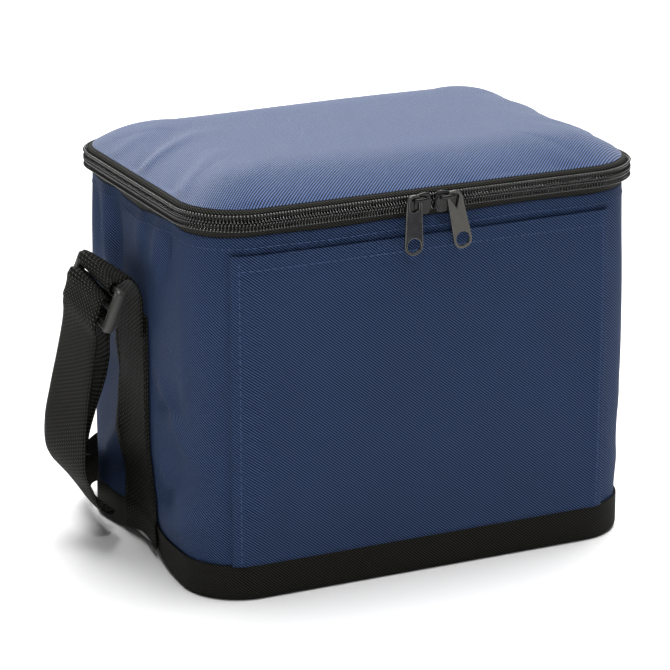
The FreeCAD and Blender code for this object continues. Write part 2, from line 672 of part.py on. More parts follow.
# The free strap's middle, the direction of its width, and how wide it lies there. It leaves the
# adjuster, hangs beside the bag, goes round behind it on edge and comes back to the right side.
STRAP_ROUTE = [
    (LEFT, BESIDE, (-24.3, 6.0, 106.0), (0, 1, 0), FULL),
    (LEFT, BESIDE, (-25.6, 8.0, 90.0), (0, 1, 0.02), FULL),
    (LEFT, BESIDE, (-26.6, 10.5, 72.0), (-0.02, 1, 0.04), FULL),
    (LEFT, BESIDE, (-27.2, 14.5, 55.0), (-0.05, 0.98, 0.12), FULL),
    (LEFT, BESIDE, (-25.8, 20.5, 40.0), (-0.08, 0.95, 0.25), FULL),
    (LEFT, BESIDE, (-22.0, 29.0, 28.0), (-0.05, 0.90, 0.40), 37.0),
    (LEFT, BESIDE, (-16.5, 39.0, 19.5), (0, 0.80, 0.58), 34.0),
    (LEFT, BESIDE, (-11.0, 51.0, 15.5), (0, 0.60, 0.80), 30.0),
    (LEFT, REAR, (-6.9, -11.0, 13.5), (-0.10, 0.30, 0.95), 26.0),
    (LEFT, REAR, (0.0, 2.0, 13.2), (-0.20, 0.20, 0.95), 25.0),
    (LEFT, REAR, (14.0, 13.0, 14.2), (-0.15, 0.20, 0.95), 27.0),
    (MIDDLE, REAR, (-70.0, 22.0, 15.6), (-0.05, 0.20, 0.97), 30.0),
    (MIDDLE, REAR, (-42.0, 32.0, 17.2), (0, 0.15, 0.98), 33.0),
    (MIDDLE, REAR, (-12.0, 46.0, 18.3), (0, 0.08, 1), 36.0),
    (MIDDLE, REAR, (14.0, 68.0, 19.2), (0, 0, 1), FULL),
    (MIDDLE, REAR, (33.0, 98.0, 19.2), (0, 0, 1), FULL),
    (MIDDLE, REAR, (44.0, 131.0, 19.2), (0, 0, 1), FULL),
    (MIDDLE, REAR, (58.0, 161.0, 19.2), (0, 0, 1), FULL),
    (MIDDLE, REAR, (82.0, 178.0, 19.2), (0, 0, 1), FULL),
    (RIGHT, REAR, (4.0, 174.0, 19.2), (0, 0, 1), FULL),
    (RIGHT, REAR, (23.0, 152.0, 19.2), (0, 0, 1), FULL),
    (RIGHT, REAR, (29.0, 120.0, 19.2), (0, 0, 1), FULL),
    (RIGHT, REAR, (27.0, 86.0, 19.2), (0, 0, 1), FULL),
    (RIGHT, REAR, (24.5, 51.0, 19.3), (0, 0.05, 1), FULL),
    (RIGHT, REAR, (22.5, 20.0, 21.5), (0, 0.30, 0.95), FULL),
    (RIGHT, REAR, (21.0, -6.0, 26.0), (0, 0.55, 0.83), FULL),
    (RIGHT, BESIDE, (20.0, 46.0, 36.0), (0, 0.78, 0.62), FULL),
    (RIGHT, BESIDE, (19.0, 29.0, 52.0), (0, 0.92, 0.39), FULL),
    (RIGHT, BESIDE, (18.0, 17.0, 72.0), (0, 0.98, 0.20), FULL),
    (RIGHT, BESIDE, (17.0, 9.5, 93.0), (0, 1, 0.08), FULL),
    (RIGHT, BESIDE, (15.8, 6.5, 110.0), (0, 1, 0), FULL),
]

# The short end that hangs inside the strap, from the adjuster to its cut edge.
TAIL_ROUTE = [
    (LEFT, BESIDE, (-18.2, 7.0, 100.0), (0, 1, 0), FULL),
    (LEFT, BESIDE, (-18.0, 9.5, 86.0), (0, 1, 0.04), FULL),
    (LEFT, BESIDE, (-18.8, 13.5, 71.0), (0, 0.98, 0.12), FULL),
    (LEFT, BESIDE, (-19.6, 19.0, 58.0), (0, 0.95, 0.25), FULL),
    (LEFT, BESIDE, (-18.6, 26.0, 46.0), (0, 0.92, 0.36), FULL),
]


def along(route):
    """A route's stations in the bag's own frame."""
    half_width, half_depth = size("wall_width") / 2, size("wall_depth") / 2
    stations = []
    for column, row, (x, y, z), across, width in route:
        stations.append(((column * half_width + x, row * half_depth + y, z), across, width))
    return stations


# How the webbing leaves each side anchor: out from the layer sewn over it, and up from its top.
LOOP_RISE = [(0, 5.0), (0.7, 11.0), (3.0, 16.0), (6.6, 19.0)]
STRAP_LANDING = [(11.2, 9.5), (7.2, 13.2), (3.0, 11.8), (0.6, 7.0), (0, 2.0)]

# The loop's cut end, tucked in under the adjuster's top bar: up from that bend, and out.
LOOP_END = [(0, -3.0), (-0.6, -6.5)]


def make_shoulder_strap():
    """One length of webbing: its short end, over the adjuster's middle bar, and the long strap."""
    width, across = size("strap_width"), (0, 1, 0)
    out = bar_reach()
    foot = size("glide_height") / 2 + size("strap_cloth")
    over_bar = [glide_place(-foot, -out)]
    over_bar += round_bar(0, range(-90, 91, 30))
    over_bar += [glide_place(-foot, out)]
    to_anchor = beside_anchor(1, STRAP_LANDING + [(0, -size("anchor_lap"))])
    stations = along(TAIL_ROUTE)[::-1]
    stations += [(place, across, width) for place in over_bar]
    stations += along(STRAP_ROUTE)
    stations += [(place, across, width) for place in to_anchor]
    webbing("shoulder_strap", stations)


def make_strap_loop():
    """A short fold of webbing that holds the adjuster by its top bar."""
    bar = (size("glide_height") - size("glide_bar")) / 2
    places = beside_anchor(-1, [(0, -size("anchor_lap"))] + LOOP_RISE)
    places += round_bar(bar, range(0, 181, 30))
    low = bar - bar_reach()
    places += [glide_place(low + up, out) for up, out in LOOP_END]
    webbing("strap_loop", [(place, (0, 1, 0), size("strap_width")) for place in places])


ring("wall_cloth", "0.0", "(0 - cloth)", BOARD_Z, "wall_top")
ring("wall_foam", f"(0 - {FOAM_IN})", f"(0 - {FOAM_IN} - foam)", BOARD_Z, FOAM_TOP)
make_liner()
slab("base_panel", BAND_OUT, "0.0", "cloth")
ring("base_band", BAND_OUT, "fit_gap", BOARD_Z, "band_top")
slab("base_board", f"(0 - {LINER_IN})", BOARD_Z, "board")
slab("base_foam", f"(0 - {LINER_IN})", BASE_FOAM_Z, "foam")
make_front_pocket()
run_round_rim("lower_zip_tape", lower_tape_section())
run_round_rim("lower_zip_coil", coil_section(COIL_LOW, f"({PARTING_Z} - {TEETH_HALF_GAP})"))
make_zip_end_stops()
run_across_back("hinge_strip_lower", lower_tape_section())
run_round_rim("upper_zip_tape", upper_tape_section())
run_round_rim("upper_zip_coil", coil_section(f"({PARTING_Z} + {TEETH_HALF_GAP})", COIL_HIGH))
run_across_back("hinge_strip_upper", upper_tape_section())
make_lid_cover()
make_lid_foam()
slab("lid_liner", LID_LINER_OUT, LID_LINER_Z, "liner")
for name, side, lean in (("left", -1, 0.0), ("right", 1, size("right_pull_lean"))):
    make_slider("slider_" + name, side)
    make_pull("pull_" + name, side, lean)
make_strap_anchor("strap_anchor_left", -1)
make_strap_anchor("strap_anchor_right", 1)
make_tri_glide()
make_strap_loop()
make_shoulder_strap()

doc.recompute()
for item in doc.Objects:
    if "Invalid" in item.State or "Error" in item.State:
        raise RuntimeError(f"{item.Label} failed to recompute: {item.State}")
for part in SUBPARTS:
    if part.Shape.isNull() or not part.Shape.isValid():
        raise RuntimeError(f"{part.Label} has no valid shape")
os.makedirs("parts", exist_ok=True)
for part in SUBPARTS:
    part.Shape.exportStep(f"parts/{part.Label}.step")
    print(f"{part.Label}: {len(part.Shape.Solids)} solid, {part.Shape.Volume / 1000:.2f} cm3")
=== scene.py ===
"""Looks of the insulated cooler bag: cloth, zip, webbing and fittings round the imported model.

Lengths are in metres in the model's own frame: the base's middle is the origin, +Z is up and -Y is
the front. Places come from the frame's boxes, and MM turns a length in millimetres into metres.
"""

import json
import math
import random

import bmesh
import bpy
import numpy as np
from mathutils import Matrix, Vector


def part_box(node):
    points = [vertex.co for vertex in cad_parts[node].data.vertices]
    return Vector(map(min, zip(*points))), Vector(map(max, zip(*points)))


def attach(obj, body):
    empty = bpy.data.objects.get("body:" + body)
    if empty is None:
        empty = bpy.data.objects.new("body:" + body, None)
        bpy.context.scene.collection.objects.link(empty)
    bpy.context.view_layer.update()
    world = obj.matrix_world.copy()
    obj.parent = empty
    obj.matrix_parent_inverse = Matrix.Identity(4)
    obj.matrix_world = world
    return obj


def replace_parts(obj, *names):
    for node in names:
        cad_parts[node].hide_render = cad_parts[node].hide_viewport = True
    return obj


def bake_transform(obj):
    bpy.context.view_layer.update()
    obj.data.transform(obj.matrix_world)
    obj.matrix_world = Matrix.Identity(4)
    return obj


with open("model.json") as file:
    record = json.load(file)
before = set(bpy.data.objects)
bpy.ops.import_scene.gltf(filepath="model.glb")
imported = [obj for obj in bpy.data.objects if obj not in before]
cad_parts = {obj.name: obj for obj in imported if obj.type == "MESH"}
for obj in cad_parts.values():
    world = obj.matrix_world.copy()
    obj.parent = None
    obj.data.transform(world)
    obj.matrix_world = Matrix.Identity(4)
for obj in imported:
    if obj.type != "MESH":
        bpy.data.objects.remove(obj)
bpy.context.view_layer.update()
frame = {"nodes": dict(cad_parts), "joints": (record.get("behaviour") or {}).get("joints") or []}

MM = 0.001
CHANCE = random.Random(7)

# ---------------- sizes taken from the frame

WALL_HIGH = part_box("wall_cloth")[1]
HALF_W, HALF_D = WALL_HIGH.x, WALL_HIGH.y
WALL_TOP = WALL_HIGH.z
BAND_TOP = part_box("base_band")[1].z
COIL_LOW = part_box("lower_zip_coil")[0].z
COIL_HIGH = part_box("upper_zip_coil")[1].z
PARTING = (COIL_LOW + COIL_HIGH) / 2
CHAIN_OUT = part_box("lower_zip_coil")[1].x - HALF_W
LID_LOW, LID_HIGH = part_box("lid_cover")
LID_EDGE, LID_TOP = LID_LOW.z, LID_HIGH.z
LID_INSET = HALF_W - LID_HIGH.x
POCKET_LOW, POCKET_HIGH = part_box("front_pocket")
ZIP_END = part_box("zip_end_stops")[1].x
ANCHOR_LOW, ANCHOR_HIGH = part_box("strap_anchor_left")
STRAP_WIDTH = ANCHOR_HIGH.y - ANCHOR_LOW.y
STRAP_Y = (ANCHOR_HIGH.y + ANCHOR_LOW.y) / 2
CORNER = 26 * MM

FLAT_X = HALF_W - CORNER
FLAT_Y = HALF_D - CORNER
QUARTER = math.pi * CORNER / 2
ROUND = 4 * FLAT_X + 4 * FLAT_Y + 4 * QUARTER

# Places along the walk round the bag, which starts at the back's middle and turns to the left.
LEFT_MIDDLE = FLAT_X + QUARTER + FLAT_Y
FRONT_MIDDLE = ROUND / 2
RIGHT_MIDDLE = ROUND - LEFT_MIDDLE
ANCHOR_MIDDLE = {"left": LEFT_MIDDLE - STRAP_Y, "right": RIGHT_MIDDLE + STRAP_Y}


def walk(s):
    """Points on the wall's outline and their outward normals, at distances s along it."""
    side, end = 2 * FLAT_Y, 2 * FLAT_X
    runs = [0, FLAT_X, QUARTER, side, QUARTER, end, QUARTER, side, QUARTER, FLAT_X]
    knots = np.cumsum(runs)
    s = np.asarray(s, float) % ROUND
    facing = np.radians(np.interp(s, knots, [90, 90, 180, 180, 270, 270, 360, 360, 450, 450]))
    x = np.interp(s, knots, [0, -1, -1, -1, -1, 1, 1, 1, 1, 0]) * FLAT_X
    y = np.interp(s, knots, [1, 1, 1, -1, -1, -1, -1, 1, 1, 1]) * FLAT_Y
    normal = np.stack([np.cos(facing), np.sin(facing)], -1)
    return np.stack([x, y], -1) + CORNER * normal, normal


def ease(x):
    """0 below 0, 1 above 1, smooth between."""
    x = np.clip(x, 0, 1)
    return x * x * (3 - 2 * x)


def bump(x, middle, width):
    return np.exp(-(((x - middle) / width) ** 2))


def round_gap(s, middle):
    """Signed distance along the outline from a place to s."""
    return (np.asarray(s) - middle + ROUND / 2) % ROUND - ROUND / 2


def unit(vectors):
    return vectors / np.linalg.norm(vectors, axis=-1, keepdims=True)


def turns(count):
    """Equal angles all round."""
    return np.linspace(0, 2 * math.pi, count + 1)[:-1]


def path_length(points):
    """The distance along a path to each of its points."""
    return np.concatenate([[0], np.cumsum(np.linalg.norm(np.diff(points, axis=0), axis=1))])


def on_path(at, along, columns):
    """What the columns hold at distances along a path."""
    return np.stack([np.interp(at, along, column) for column in columns.T], -1)


# ---------------- how the soft walls lie

# Creases in the wall: from (distance from a place along the outline, height) to the same, all in
# millimetres, then the crease's half width and its height. Negative heights are valleys.
LEFT_CREASES = [
    ((22, 92), (60, 60), 5, 0.9),
    ((20, 74), (52, 84), 4, -0.9),
    ((20, 52), (48, 40), 6, 1.0),
    ((19, 30), (50, 52), 5, -1.2),
    ((20, 20), (66, 34), 7, 1.3),
    ((-20, 60), (-44, 30), 6, 1.2),
    ((-21, 84), (-52, 64), 6, -1.0),
    ((-22, 34), (-50, 16), 5, -1.1),
    ((-26, 160), (-22, 118), 5, -1.5),
    ((-38, 161), (-30, 120), 5, 1.3),
    ((-52, 161), (-44, 130), 5, -1.2),
    ((26, 160), (22, 134), 5, 1.1),
    ((38, 160), (32, 140), 4, -0.9),
    ((6, 162), (3, 142), 5, 1.0),
]
FRONT_CREASES = [
    ((-96, 152), (-104, 120), 6, -0.7),
    ((92, 100), (99, 30), 6, -0.6),
    ((96, 160), (103, 110), 6, 0.6),
    ((-98, 30), (-104, 70), 7, 0.6),
]

# The right side's creases mirror the left's, and are shallower.
LEFT_DEPTH, RIGHT_DEPTH = 2.1, 0.8


def beside(x, y, start, end):
    """How far along a line from start to end each place lies, 0 to 1, and its squared distance."""
    (x0, y0), (x1, y1) = np.array([start, end]) * MM
    dx, dy = x1 - x0, y1 - y0
    t = np.clip(((x - x0) * dx + (y - y0) * dy) / (dx * dx + dy * dy), 0, 1)
    return t, (x - x0 - t * dx) ** 2 + (y - y0 - t * dy) ** 2


def crease_field(creases, middle, s, z):
    """Height of the creases that are placed from a middle, at each (s, z)."""
    total = np.zeros(np.broadcast(s, z).shape)
    for start, end, half, height in creases:
        t, gap2 = beside(round_gap(s, middle), z, start, end)
        fade = np.sin(math.pi * (0.12 + 0.76 * t))
        total = total + height * MM * fade * np.exp(-gap2 / (half * MM) ** 2)
    return total


def wall_out(s, z):
    """How far the wall's cloth stands out from its plain outline."""
    s, z = np.broadcast_arrays(np.asarray(s, float), np.asarray(z, float))
    up = (z - BAND_TOP) / (WALL_TOP - BAND_TOP)
    belly = np.sin(math.pi * np.clip(up, 0, 1)) ** 0.8
    slack = 0.9 + 0.5 * np.sin(2 * math.pi * s / ROUND * 3 + 0.7) + 0.3 * np.sin(
        2 * math.pi * (s / ROUND * 7 + up * 1.3)
    )
    out = belly * slack * MM * 1.1
    out += LEFT_DEPTH * crease_field(LEFT_CREASES, LEFT_MIDDLE, s, z)
    mirrored = round_gap(RIGHT_MIDDLE, s) + LEFT_MIDDLE
    out += RIGHT_DEPTH * crease_field(LEFT_CREASES, LEFT_MIDDLE, mirrored, z)
    out += crease_field(FRONT_CREASES, FRONT_MIDDLE, s, z)
    for side, pull in (("left", 4.6), ("right", 3.2)):
        gap = round_gap(s, ANCHOR_MIDDLE[side])
        out -= pull * MM * np.exp(-((gap / (30 * MM)) ** 2)) * (1 - ease(z / (62 * MM)))
        out -= 1.2 * MM * np.exp(-((gap / (24 * MM)) ** 2)) * (1 - ease((z - 70 * MM) / (60 * MM)))
    out -= 1.4 * MM * bump(z, WALL_TOP, 9 * MM) * bump(round_gap(s, LEFT_MIDDLE), 0, 34 * MM)
    return out


def wall_top(s):
    """Height of the wall's folded top edge: it sags where the zip's tape shows on the sides."""
    sag = 2.6 * bump(round_gap(s, LEFT_MIDDLE), -4 * MM, 26 * MM)
    sag += 1.8 * bump(round_gap(s, RIGHT_MIDDLE), 4 * MM, 26 * MM)
    ripple = 0.25 * np.sin(2 * math.pi * np.asarray(s) / ROUND * 11)
    return WALL_TOP - (sag - ripple) * MM


def base_lift(s):
    """How far the bottom edge is drawn up where the strap is sewn into it."""
    lift = 4.2 * bump(round_gap(s, LEFT_MIDDLE), -STRAP_Y, 24 * MM)
    lift += 3.0 * bump(round_gap(s, RIGHT_MIDDLE), STRAP_Y, 24 * MM)
    return lift * MM


# ---------------- meshes from rows of points


def new_mesh(name, points, faces, body, slot, weave=None):
    """A smooth piece that rides a body.

    weave gives each face corner its place in the cloth: its place in plan, unless told otherwise.
    """
    mesh = bpy.data.meshes.new(name)
    mesh.from_pydata([tuple(p) for p in points], [], faces)
    mesh.polygons.foreach_set("use_smooth", [True] * len(mesh.polygons))
    if weave is None:
        weave = [tuple(points[v][:2]) for face in faces for v in face]
    mesh.uv_layers.new(name="weave").data.foreach_set("uv", np.asarray(weave, float).ravel())
    mesh.update()
    piece = bpy.data.objects.new(name, mesh)
    bpy.context.scene.collection.objects.link(piece)
    if body:
        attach(piece, body)
    return dress(piece, SKINS[slot])


def dress(piece, material):
    piece.data.materials.clear()
    piece.data.materials.append(material)
    return piece


def clean(piece, gap=0.0):
    """Joins points closer than the gap, and turns every face outward."""
    mesh = bmesh.new()
    mesh.from_mesh(piece.data)
    if gap:
        bmesh.ops.remove_doubles(mesh, verts=mesh.verts, dist=gap)
        bmesh.ops.dissolve_degenerate(mesh, dist=gap / 3, edges=mesh.edges)
    bmesh.ops.recalc_face_normals(mesh, faces=mesh.faces)
    mesh.to_mesh(piece.data)
    mesh.free()
    return piece


def ring_faces(first, rings, sides):
    """Faces round a chain of rings of points, with both ends closed."""
    faces = []
    for i in range(rings - 1):
        for k in range(sides):
            a, b = first + i * sides + k, first + i * sides + (k + 1) % sides
            faces.append((a, b, b + sides, a + sides))
    last = first + (rings - 1) * sides
    return faces + [tuple(range(first, first + sides))[::-1], tuple(range(last, last + sides))]


def no_weave(faces):
    """For a piece too thin to show a weave: one place in the cloth for every face corner."""
    return np.zeros((sum(len(face) for face in faces), 2))


def tube(name, rows, u, body, slot, closed=False, v=None):
    """A closed cross-section, rows[i][k], carried along u. The ends are capped unless it closes."""
    rows = np.asarray(rows, float)
    count, around = rows.shape[:2]
    if v is None:
        steps = np.linalg.norm(rows - np.roll(rows, -1, 1), axis=2).mean(0)
        v = np.concatenate([[0], np.cumsum(steps)])
    faces, weave = [], []
    for i in range(count if closed else count - 1):
        after = (i + 1) % count
        for k in range(around):
            k2 = (k + 1) % around
            faces.append((i * around + k, i * around + k2, after * around + k2, after * around + k))
            weave += [(u[i], v[k]), (u[i], v[k + 1]), (u[i + 1], v[k + 1]), (u[i + 1], v[k])]
    if not closed:
        first = list(range(around))
        last = [(count - 1) * around + k for k in range(around)]
        faces += [tuple(first[::-1]), tuple(last)]
        weave += [(u[0], v[k]) for k in first[::-1]] + [(u[count - 1], v[k]) for k in range(around)]
    return clean(new_mesh(name, rows.reshape(-1, 3), faces, body, slot, weave))


def round_the_bag(s, section):
    """Rows of points: section(s) gives (out, height) arrays of one size for each place s."""
    point, normal = walk(s)
    rows = []
    for i, place in enumerate(s):
        out, z = section(place)
        xy = point[i] + np.outer(out, normal[i])
        rows.append(np.column_stack([xy, z]))
    return rows


def laps(step):
    count = int(round(ROUND / step))
    return np.linspace(0, ROUND, count + 1)


def zip_line(step):
    """Places along the zip, from its left end at the back, round the front, to its right end."""
    count = int(round((ROUND - 2 * ZIP_END) / step))
    return np.linspace(ZIP_END, ROUND - ZIP_END, count + 1)


# ---------------- materials


class Nodes:
    """Short calls for building one material."""

    def __init__(self, name):
        self.material = bpy.data.materials.new(name)
        self.material.use_nodes = True
        self.tree = self.material.node_tree
        self.shader = self.tree.nodes["Principled BSDF"]

    def link(self, value, socket):
        if isinstance(value, bpy.types.NodeSocket):
            self.tree.links.new(value, socket)
        else:
            socket.default_value = value

    def node(self, kind, **settings):
        node = self.tree.nodes.new(kind)
        for key, value in settings.items():
            setattr(node, key, value)
        return node

    def math(self, operation, a, b=0.0, clamp=False):
        node = self.node("ShaderNodeMath", operation=operation, use_clamp=clamp)
        self.link(a, node.inputs[0])
        self.link(b, node.inputs[1])
        return node.outputs[0]

    def plus(self, base, part, share=1.0, clamp=False):
        """base + part x share."""
        return self.math("ADD", base, self.math("MULTIPLY", part, share), clamp)

    def level(self, value, lift, gain, power=1.0):
        """(value + lift) x gain, kept within 0 to 1, to a power."""
        return self.math("POWER", self.math("MULTIPLY", self.math("ADD", value, lift), gain, True), power)

    def mix(self, factor, dark, light):
        node = self.node("ShaderNodeMix", data_type="RGBA")
        self.link(factor, node.inputs["Factor"])
        self.link((*dark, 1.0), node.inputs[6])
        self.link((*light, 1.0), node.inputs[7])
        return node.outputs[2]

    def place(self):
        return self.node("ShaderNodeTexCoord").outputs["Object"]

    def noise(self, vector, scale, detail=3.0, rough=0.55):
        node = self.node("ShaderNodeTexNoise")
        self.link(vector, node.inputs["Vector"])
        node.inputs["Scale"].default_value = scale
        node.inputs["Detail"].default_value = detail
        node.inputs["Roughness"].default_value = rough
        return node.outputs["Fac"]

    def fuzz(self, vector, scale):
        """Fine noise about zero."""
        return self.math("SUBTRACT", self.noise(vector, scale, 2.0), 0.5)

    def weave(self):
        """The cloth's own coordinates, along and across, in metres."""
        split = self.node("ShaderNodeSeparateXYZ")
        self.link(self.node("ShaderNodeUVMap", uv_map="weave").outputs[0], split.inputs[0])
        return split.outputs[0], split.outputs[1]

    def wave(self, a, pitch_a, b=0.0, pitch_b=1.0):
        """A sine that repeats along a and along b at these pitches, in millimetres."""
        turn = 2 * math.pi / MM
        return self.math("SINE", self.plus(self.math("MULTIPLY", a, turn / pitch_a), b, turn / pitch_b))

    def finish(self, color, rough, height=None, depth=0.0, strength=1.0, **plain):
        self.link(color, self.shader.inputs["Base Color"])
        self.link(rough, self.shader.inputs["Roughness"])
        if height is not None:
            relief = self.node("ShaderNodeBump")
            relief.inputs["Strength"].default_value = strength
            relief.inputs["Distance"].default_value = depth
            self.link(height, relief.inputs["Height"])
            self.link(relief.outputs[0], self.shader.inputs["Normal"])
        for name, value in plain.items():
            self.shader.inputs[name.replace("_", " ")].default_value = value
        return self.material


def woven(name, dark, light, pitch, rough, depth, turn=1, sheen=0.0, spec=0.3):
    """Basket weave whose spots line up in slanting rows; turn says which way they slant.

    pitch is the spots' spacing along and across the cloth, in millimetres. The colour follows the weave's
    height, darkest in the valleys: painted shade between the yarns.
    """
    n = Nodes(name)
    u, v = n.weave()
    place = n.place()
    spots = n.math("MULTIPLY", n.wave(u, pitch[0]), n.wave(v, pitch[1]))
    height = n.plus(n.wave(u, pitch[0], v, turn * pitch[1]), spots, 0.6)
    height = n.plus(height, n.fuzz(place, 1900.0), 0.7)
    cloudy = n.noise(place, 26.0, 4.0)
    # Colour follows the weave's height, darkest in the valleys (painted shade between the yarns); cloudy adds
    # random tone.
    level = n.plus(n.level(height, 0.5, 0.9), n.math("SUBTRACT", cloudy, 0.5), 0.16, clamp=True)
    return n.finish(
        n.mix(level, dark, light), n.plus(rough - 0.05, cloudy, 0.12), height, depth,
        Sheen_Weight=sheen, Sheen_Roughness=0.45, Specular_IOR_Level=spec, IOR=1.25,
    )


def webbing_material():
    """Heavy webbing: plump yarns in slanting rows, with painted highlights on their crowns and painted shade
    between them.
    """
    n = Nodes("webbing")
    u, v = n.weave()
    place = n.place()
    along, across = n.wave(u, 2.0, v, 3.2), n.wave(u, -2.0, v, 3.2)
    height = n.plus(n.math("MULTIPLY", along, across), along, 0.6)
    height = n.plus(height, n.fuzz(place, 2600.0), 0.9)
    cloudy = n.noise(place, 40.0)
    # Colour follows the yarns' height: painted highlights on the crowns and painted shade in the valleys.
    level = n.math("MULTIPLY", n.level(height, 1.2, 0.36, 3.4), n.plus(cloudy, 0.45), clamp=True)
    color = n.mix(level, (0.0006, 0.0006, 0.0005), (0.125, 0.123, 0.103))
    return n.finish(color, n.plus(0.46, cloudy, 0.16), height, 0.0007, Specular_IOR_Level=0.15, IOR=1.2)


def tape_material():
    """Herringbone tape with a faint rib, its colour darkest in the weave's valleys: painted shade."""
    n = Nodes("zip_tape")
    u, v = n.weave()
    height = n.plus(n.wave(u, 1.5, v, 1.5), n.wave(v, 1.1), 0.4)
    # Colour follows the weave's height, darkest in the valleys: painted shade.
    color = n.mix(n.level(height, 1.3, 0.36, 1.6), (0.002, 0.002, 0.0018), (0.050, 0.049, 0.041))
    rough = n.plus(0.55, n.noise(n.place(), 60.0), 0.15)
    return n.finish(color, rough, height, 0.0003, Specular_IOR_Level=0.3, IOR=1.28)


def plastic_material(name, dark, light, rough, grain, spec=0.5):
    """Moulded plastic or paint: a fine grain, faint flow marks and duller patches."""
    n = Nodes(name)
    place = n.place()
    patches = n.noise(place, 120.0)
    fine = n.noise(place, 2400.0, 2.0)
    rough = n.plus(rough - 0.08, patches, 0.18)
    return n.finish(n.mix(patches, dark, light), rough, fine, grain, 0.6, Specular_IOR_Level=spec)


def metal_material(name, dark, light, rough, grain):
    """Gunmetal paint over a casting, rubbed a little brighter in places."""
    n = Nodes(name)
    place = n.place()
    fine = n.noise(place, 1500.0)
    color = n.mix(n.noise(place, 260.0), dark, light)
    return n.finish(color, n.plus(rough - 0.08, fine, 0.2), fine, grain, 0.8, Metallic=0.75)


def foil_material():
    """Bright quilted film: small crushed facets, painted darker in their hollows: painted shade."""
    n = Nodes("foil")
    place = n.place()
    crush = n.noise(place, 140.0, 5.0, 0.7)
    fine = n.noise(place, 900.0, 2.0)
    # Colour follows the crush's height, darker in the hollows: painted shade.
    color = n.mix(crush, (0.62, 0.64, 0.67), (0.88, 0.89, 0.9))
    return n.finish(color, n.plus(0.2, fine, 0.25), n.plus(crush, fine, 0.15), 0.0016, 0.7, Metallic=0.9)


def foam_material():
    """Closed-cell foam: pale, with small round cells, painted darker in their pits: painted shade."""
    n = Nodes("foam")
    cells = n.node("ShaderNodeTexVoronoi")
    n.link(n.place(), cells.inputs["Vector"])
    cells.inputs["Scale"].default_value = 900.0
    height = cells.outputs["Distance"]
    # Colour follows the cells' height, darker in each pit: painted shade.
    return n.finish(n.mix(height, (0.72, 0.72, 0.70), (0.9, 0.9, 0.88)), 0.8, height, 0.0003, 0.6)


def board_material():
    """Grey pressed board."""
    n = Nodes("board")
    flow = n.noise(n.place(), 300.0, 4.0)
    return n.finish(n.mix(flow, (0.48, 0.48, 0.47), (0.6, 0.6, 0.58)), 0.55, flow, 0.0002, 0.4)


# Weave pitches in millimetres: the bag's cloth, and the twist of sewing thread.
OXFORD = (1.56, 1.28)
TWIST = (0.5, 0.5)

# Weave colours: each pair is the valley colour, darkened as painted shade between the yarns, then the crown
# colour.
NAVY_DARK, NAVY_LIGHT = (0.005, 0.011, 0.036), (0.080, 0.142, 0.315)
# The lid's pair is the wall's navy made lighter on the crowns: painted light on the lid's top face.
LID_DARK, LID_LIGHT = (0.004, 0.010, 0.034), (0.088, 0.155, 0.350)
BLACK_DARK, BLACK_LIGHT = (0.003, 0.003, 0.0025), (0.032, 0.031, 0.026)

SKINS = {
    "navy_cloth": woven("navy_cloth", NAVY_DARK, NAVY_LIGHT, OXFORD, 0.62, 0.0006),
    "black_cloth": woven("black_cloth", BLACK_DARK, BLACK_LIGHT, OXFORD, 0.66, 0.0004, spec=0.2),
    "webbing": webbing_material(),
    "zip_tape": tape_material(),
    "zip_teeth": plastic_material(
        "zip_teeth", (0.005, 0.005, 0.005), (0.014, 0.014, 0.013), 0.2, 0.00003, 1.0,
    ),
    "glide_plastic": plastic_material(
        "glide_plastic", (0.028, 0.029, 0.026), (0.055, 0.056, 0.05), 0.34, 0.00006, 0.4,
    ),
    "slider_metal": metal_material(
        "slider_metal", (0.012, 0.012, 0.012), (0.034, 0.034, 0.033), 0.25, 0.00005,
    ),
    "foil": foil_material(),
}
# A lighter copy of the navy cloth for the lid: painted light on its top face.
LIT_LID_NAVY = woven("lid_cloth_painted_light", LID_DARK, LID_LIGHT, OXFORD, 0.5, 0.00022, turn=-1, sheen=0.3)
NAVY_THREAD = woven("navy_thread", (0.04, 0.065, 0.15), (0.09, 0.14, 0.28), TWIST, 0.5, 0.0001)
BLACK_THREAD = woven("black_thread", (0.006, 0.006, 0.0055), (0.03, 0.03, 0.028), TWIST, 0.5, 0.0001)
DARK_METAL = metal_material("dark_pull", (0.005, 0.005, 0.006), (0.045, 0.045, 0.05), 0.5, 0.0006)
PALE_METAL = metal_material("pale_pull", (0.06, 0.058, 0.052), (0.09, 0.088, 0.078), 0.42, 0.00012)
RIM_METAL = metal_material("pull_rim", (0.05, 0.05, 0.048), (0.12, 0.118, 0.11), 0.25, 0.00004)
FOAM = foam_material()
BOARD = board_material()


# ---------------- sewing

STITCH = 2.7 * MM
STITCH_GAP = 0.8 * MM
THREAD = 0.27 * MM
# A stitch's rings: place along it, girth and rise, as shares of its length and of the thread.
STITCH_RINGS = [(-0.5, 0.15, -0.5), (-0.36, 0.8, 0.1), (0.0, 1.0, 0.55), (0.36, 0.8, 0.1), (0.5, 0.15, -0.5)]


def stitches(name, path, slot, thread):
    """A row of thread along a path on the bag: a short plump stitch, a gap, and so on."""
    places, normals = path
    along = path_length(places)
    pitch = STITCH + STITCH_GAP
    around = turns(6)
    points, faces = [], []
    for j in range(int(along[-1] // pitch)):
        reach = STITCH * CHANCE.uniform(0.94, 1.03)
        faces += ring_faces(len(points), len(STITCH_RINGS), len(around))
        for share, girth, rise in STITCH_RINGS:
            at = (j + 0.5) * pitch + share * reach
            p = on_path(at, along, places)
            out = unit(on_path(at, along, normals))
            side = np.cross(unit(on_path(at + 0.2 * MM, along, places) - p), out)
            p = p + out * THREAD * rise
            points += [p + THREAD * girth * (math.cos(a) * side + math.sin(a) * out) for a in around]
    piece = new_mesh(name, points, faces, "bag", slot, no_weave(faces))
    return dress(clean(piece), thread)


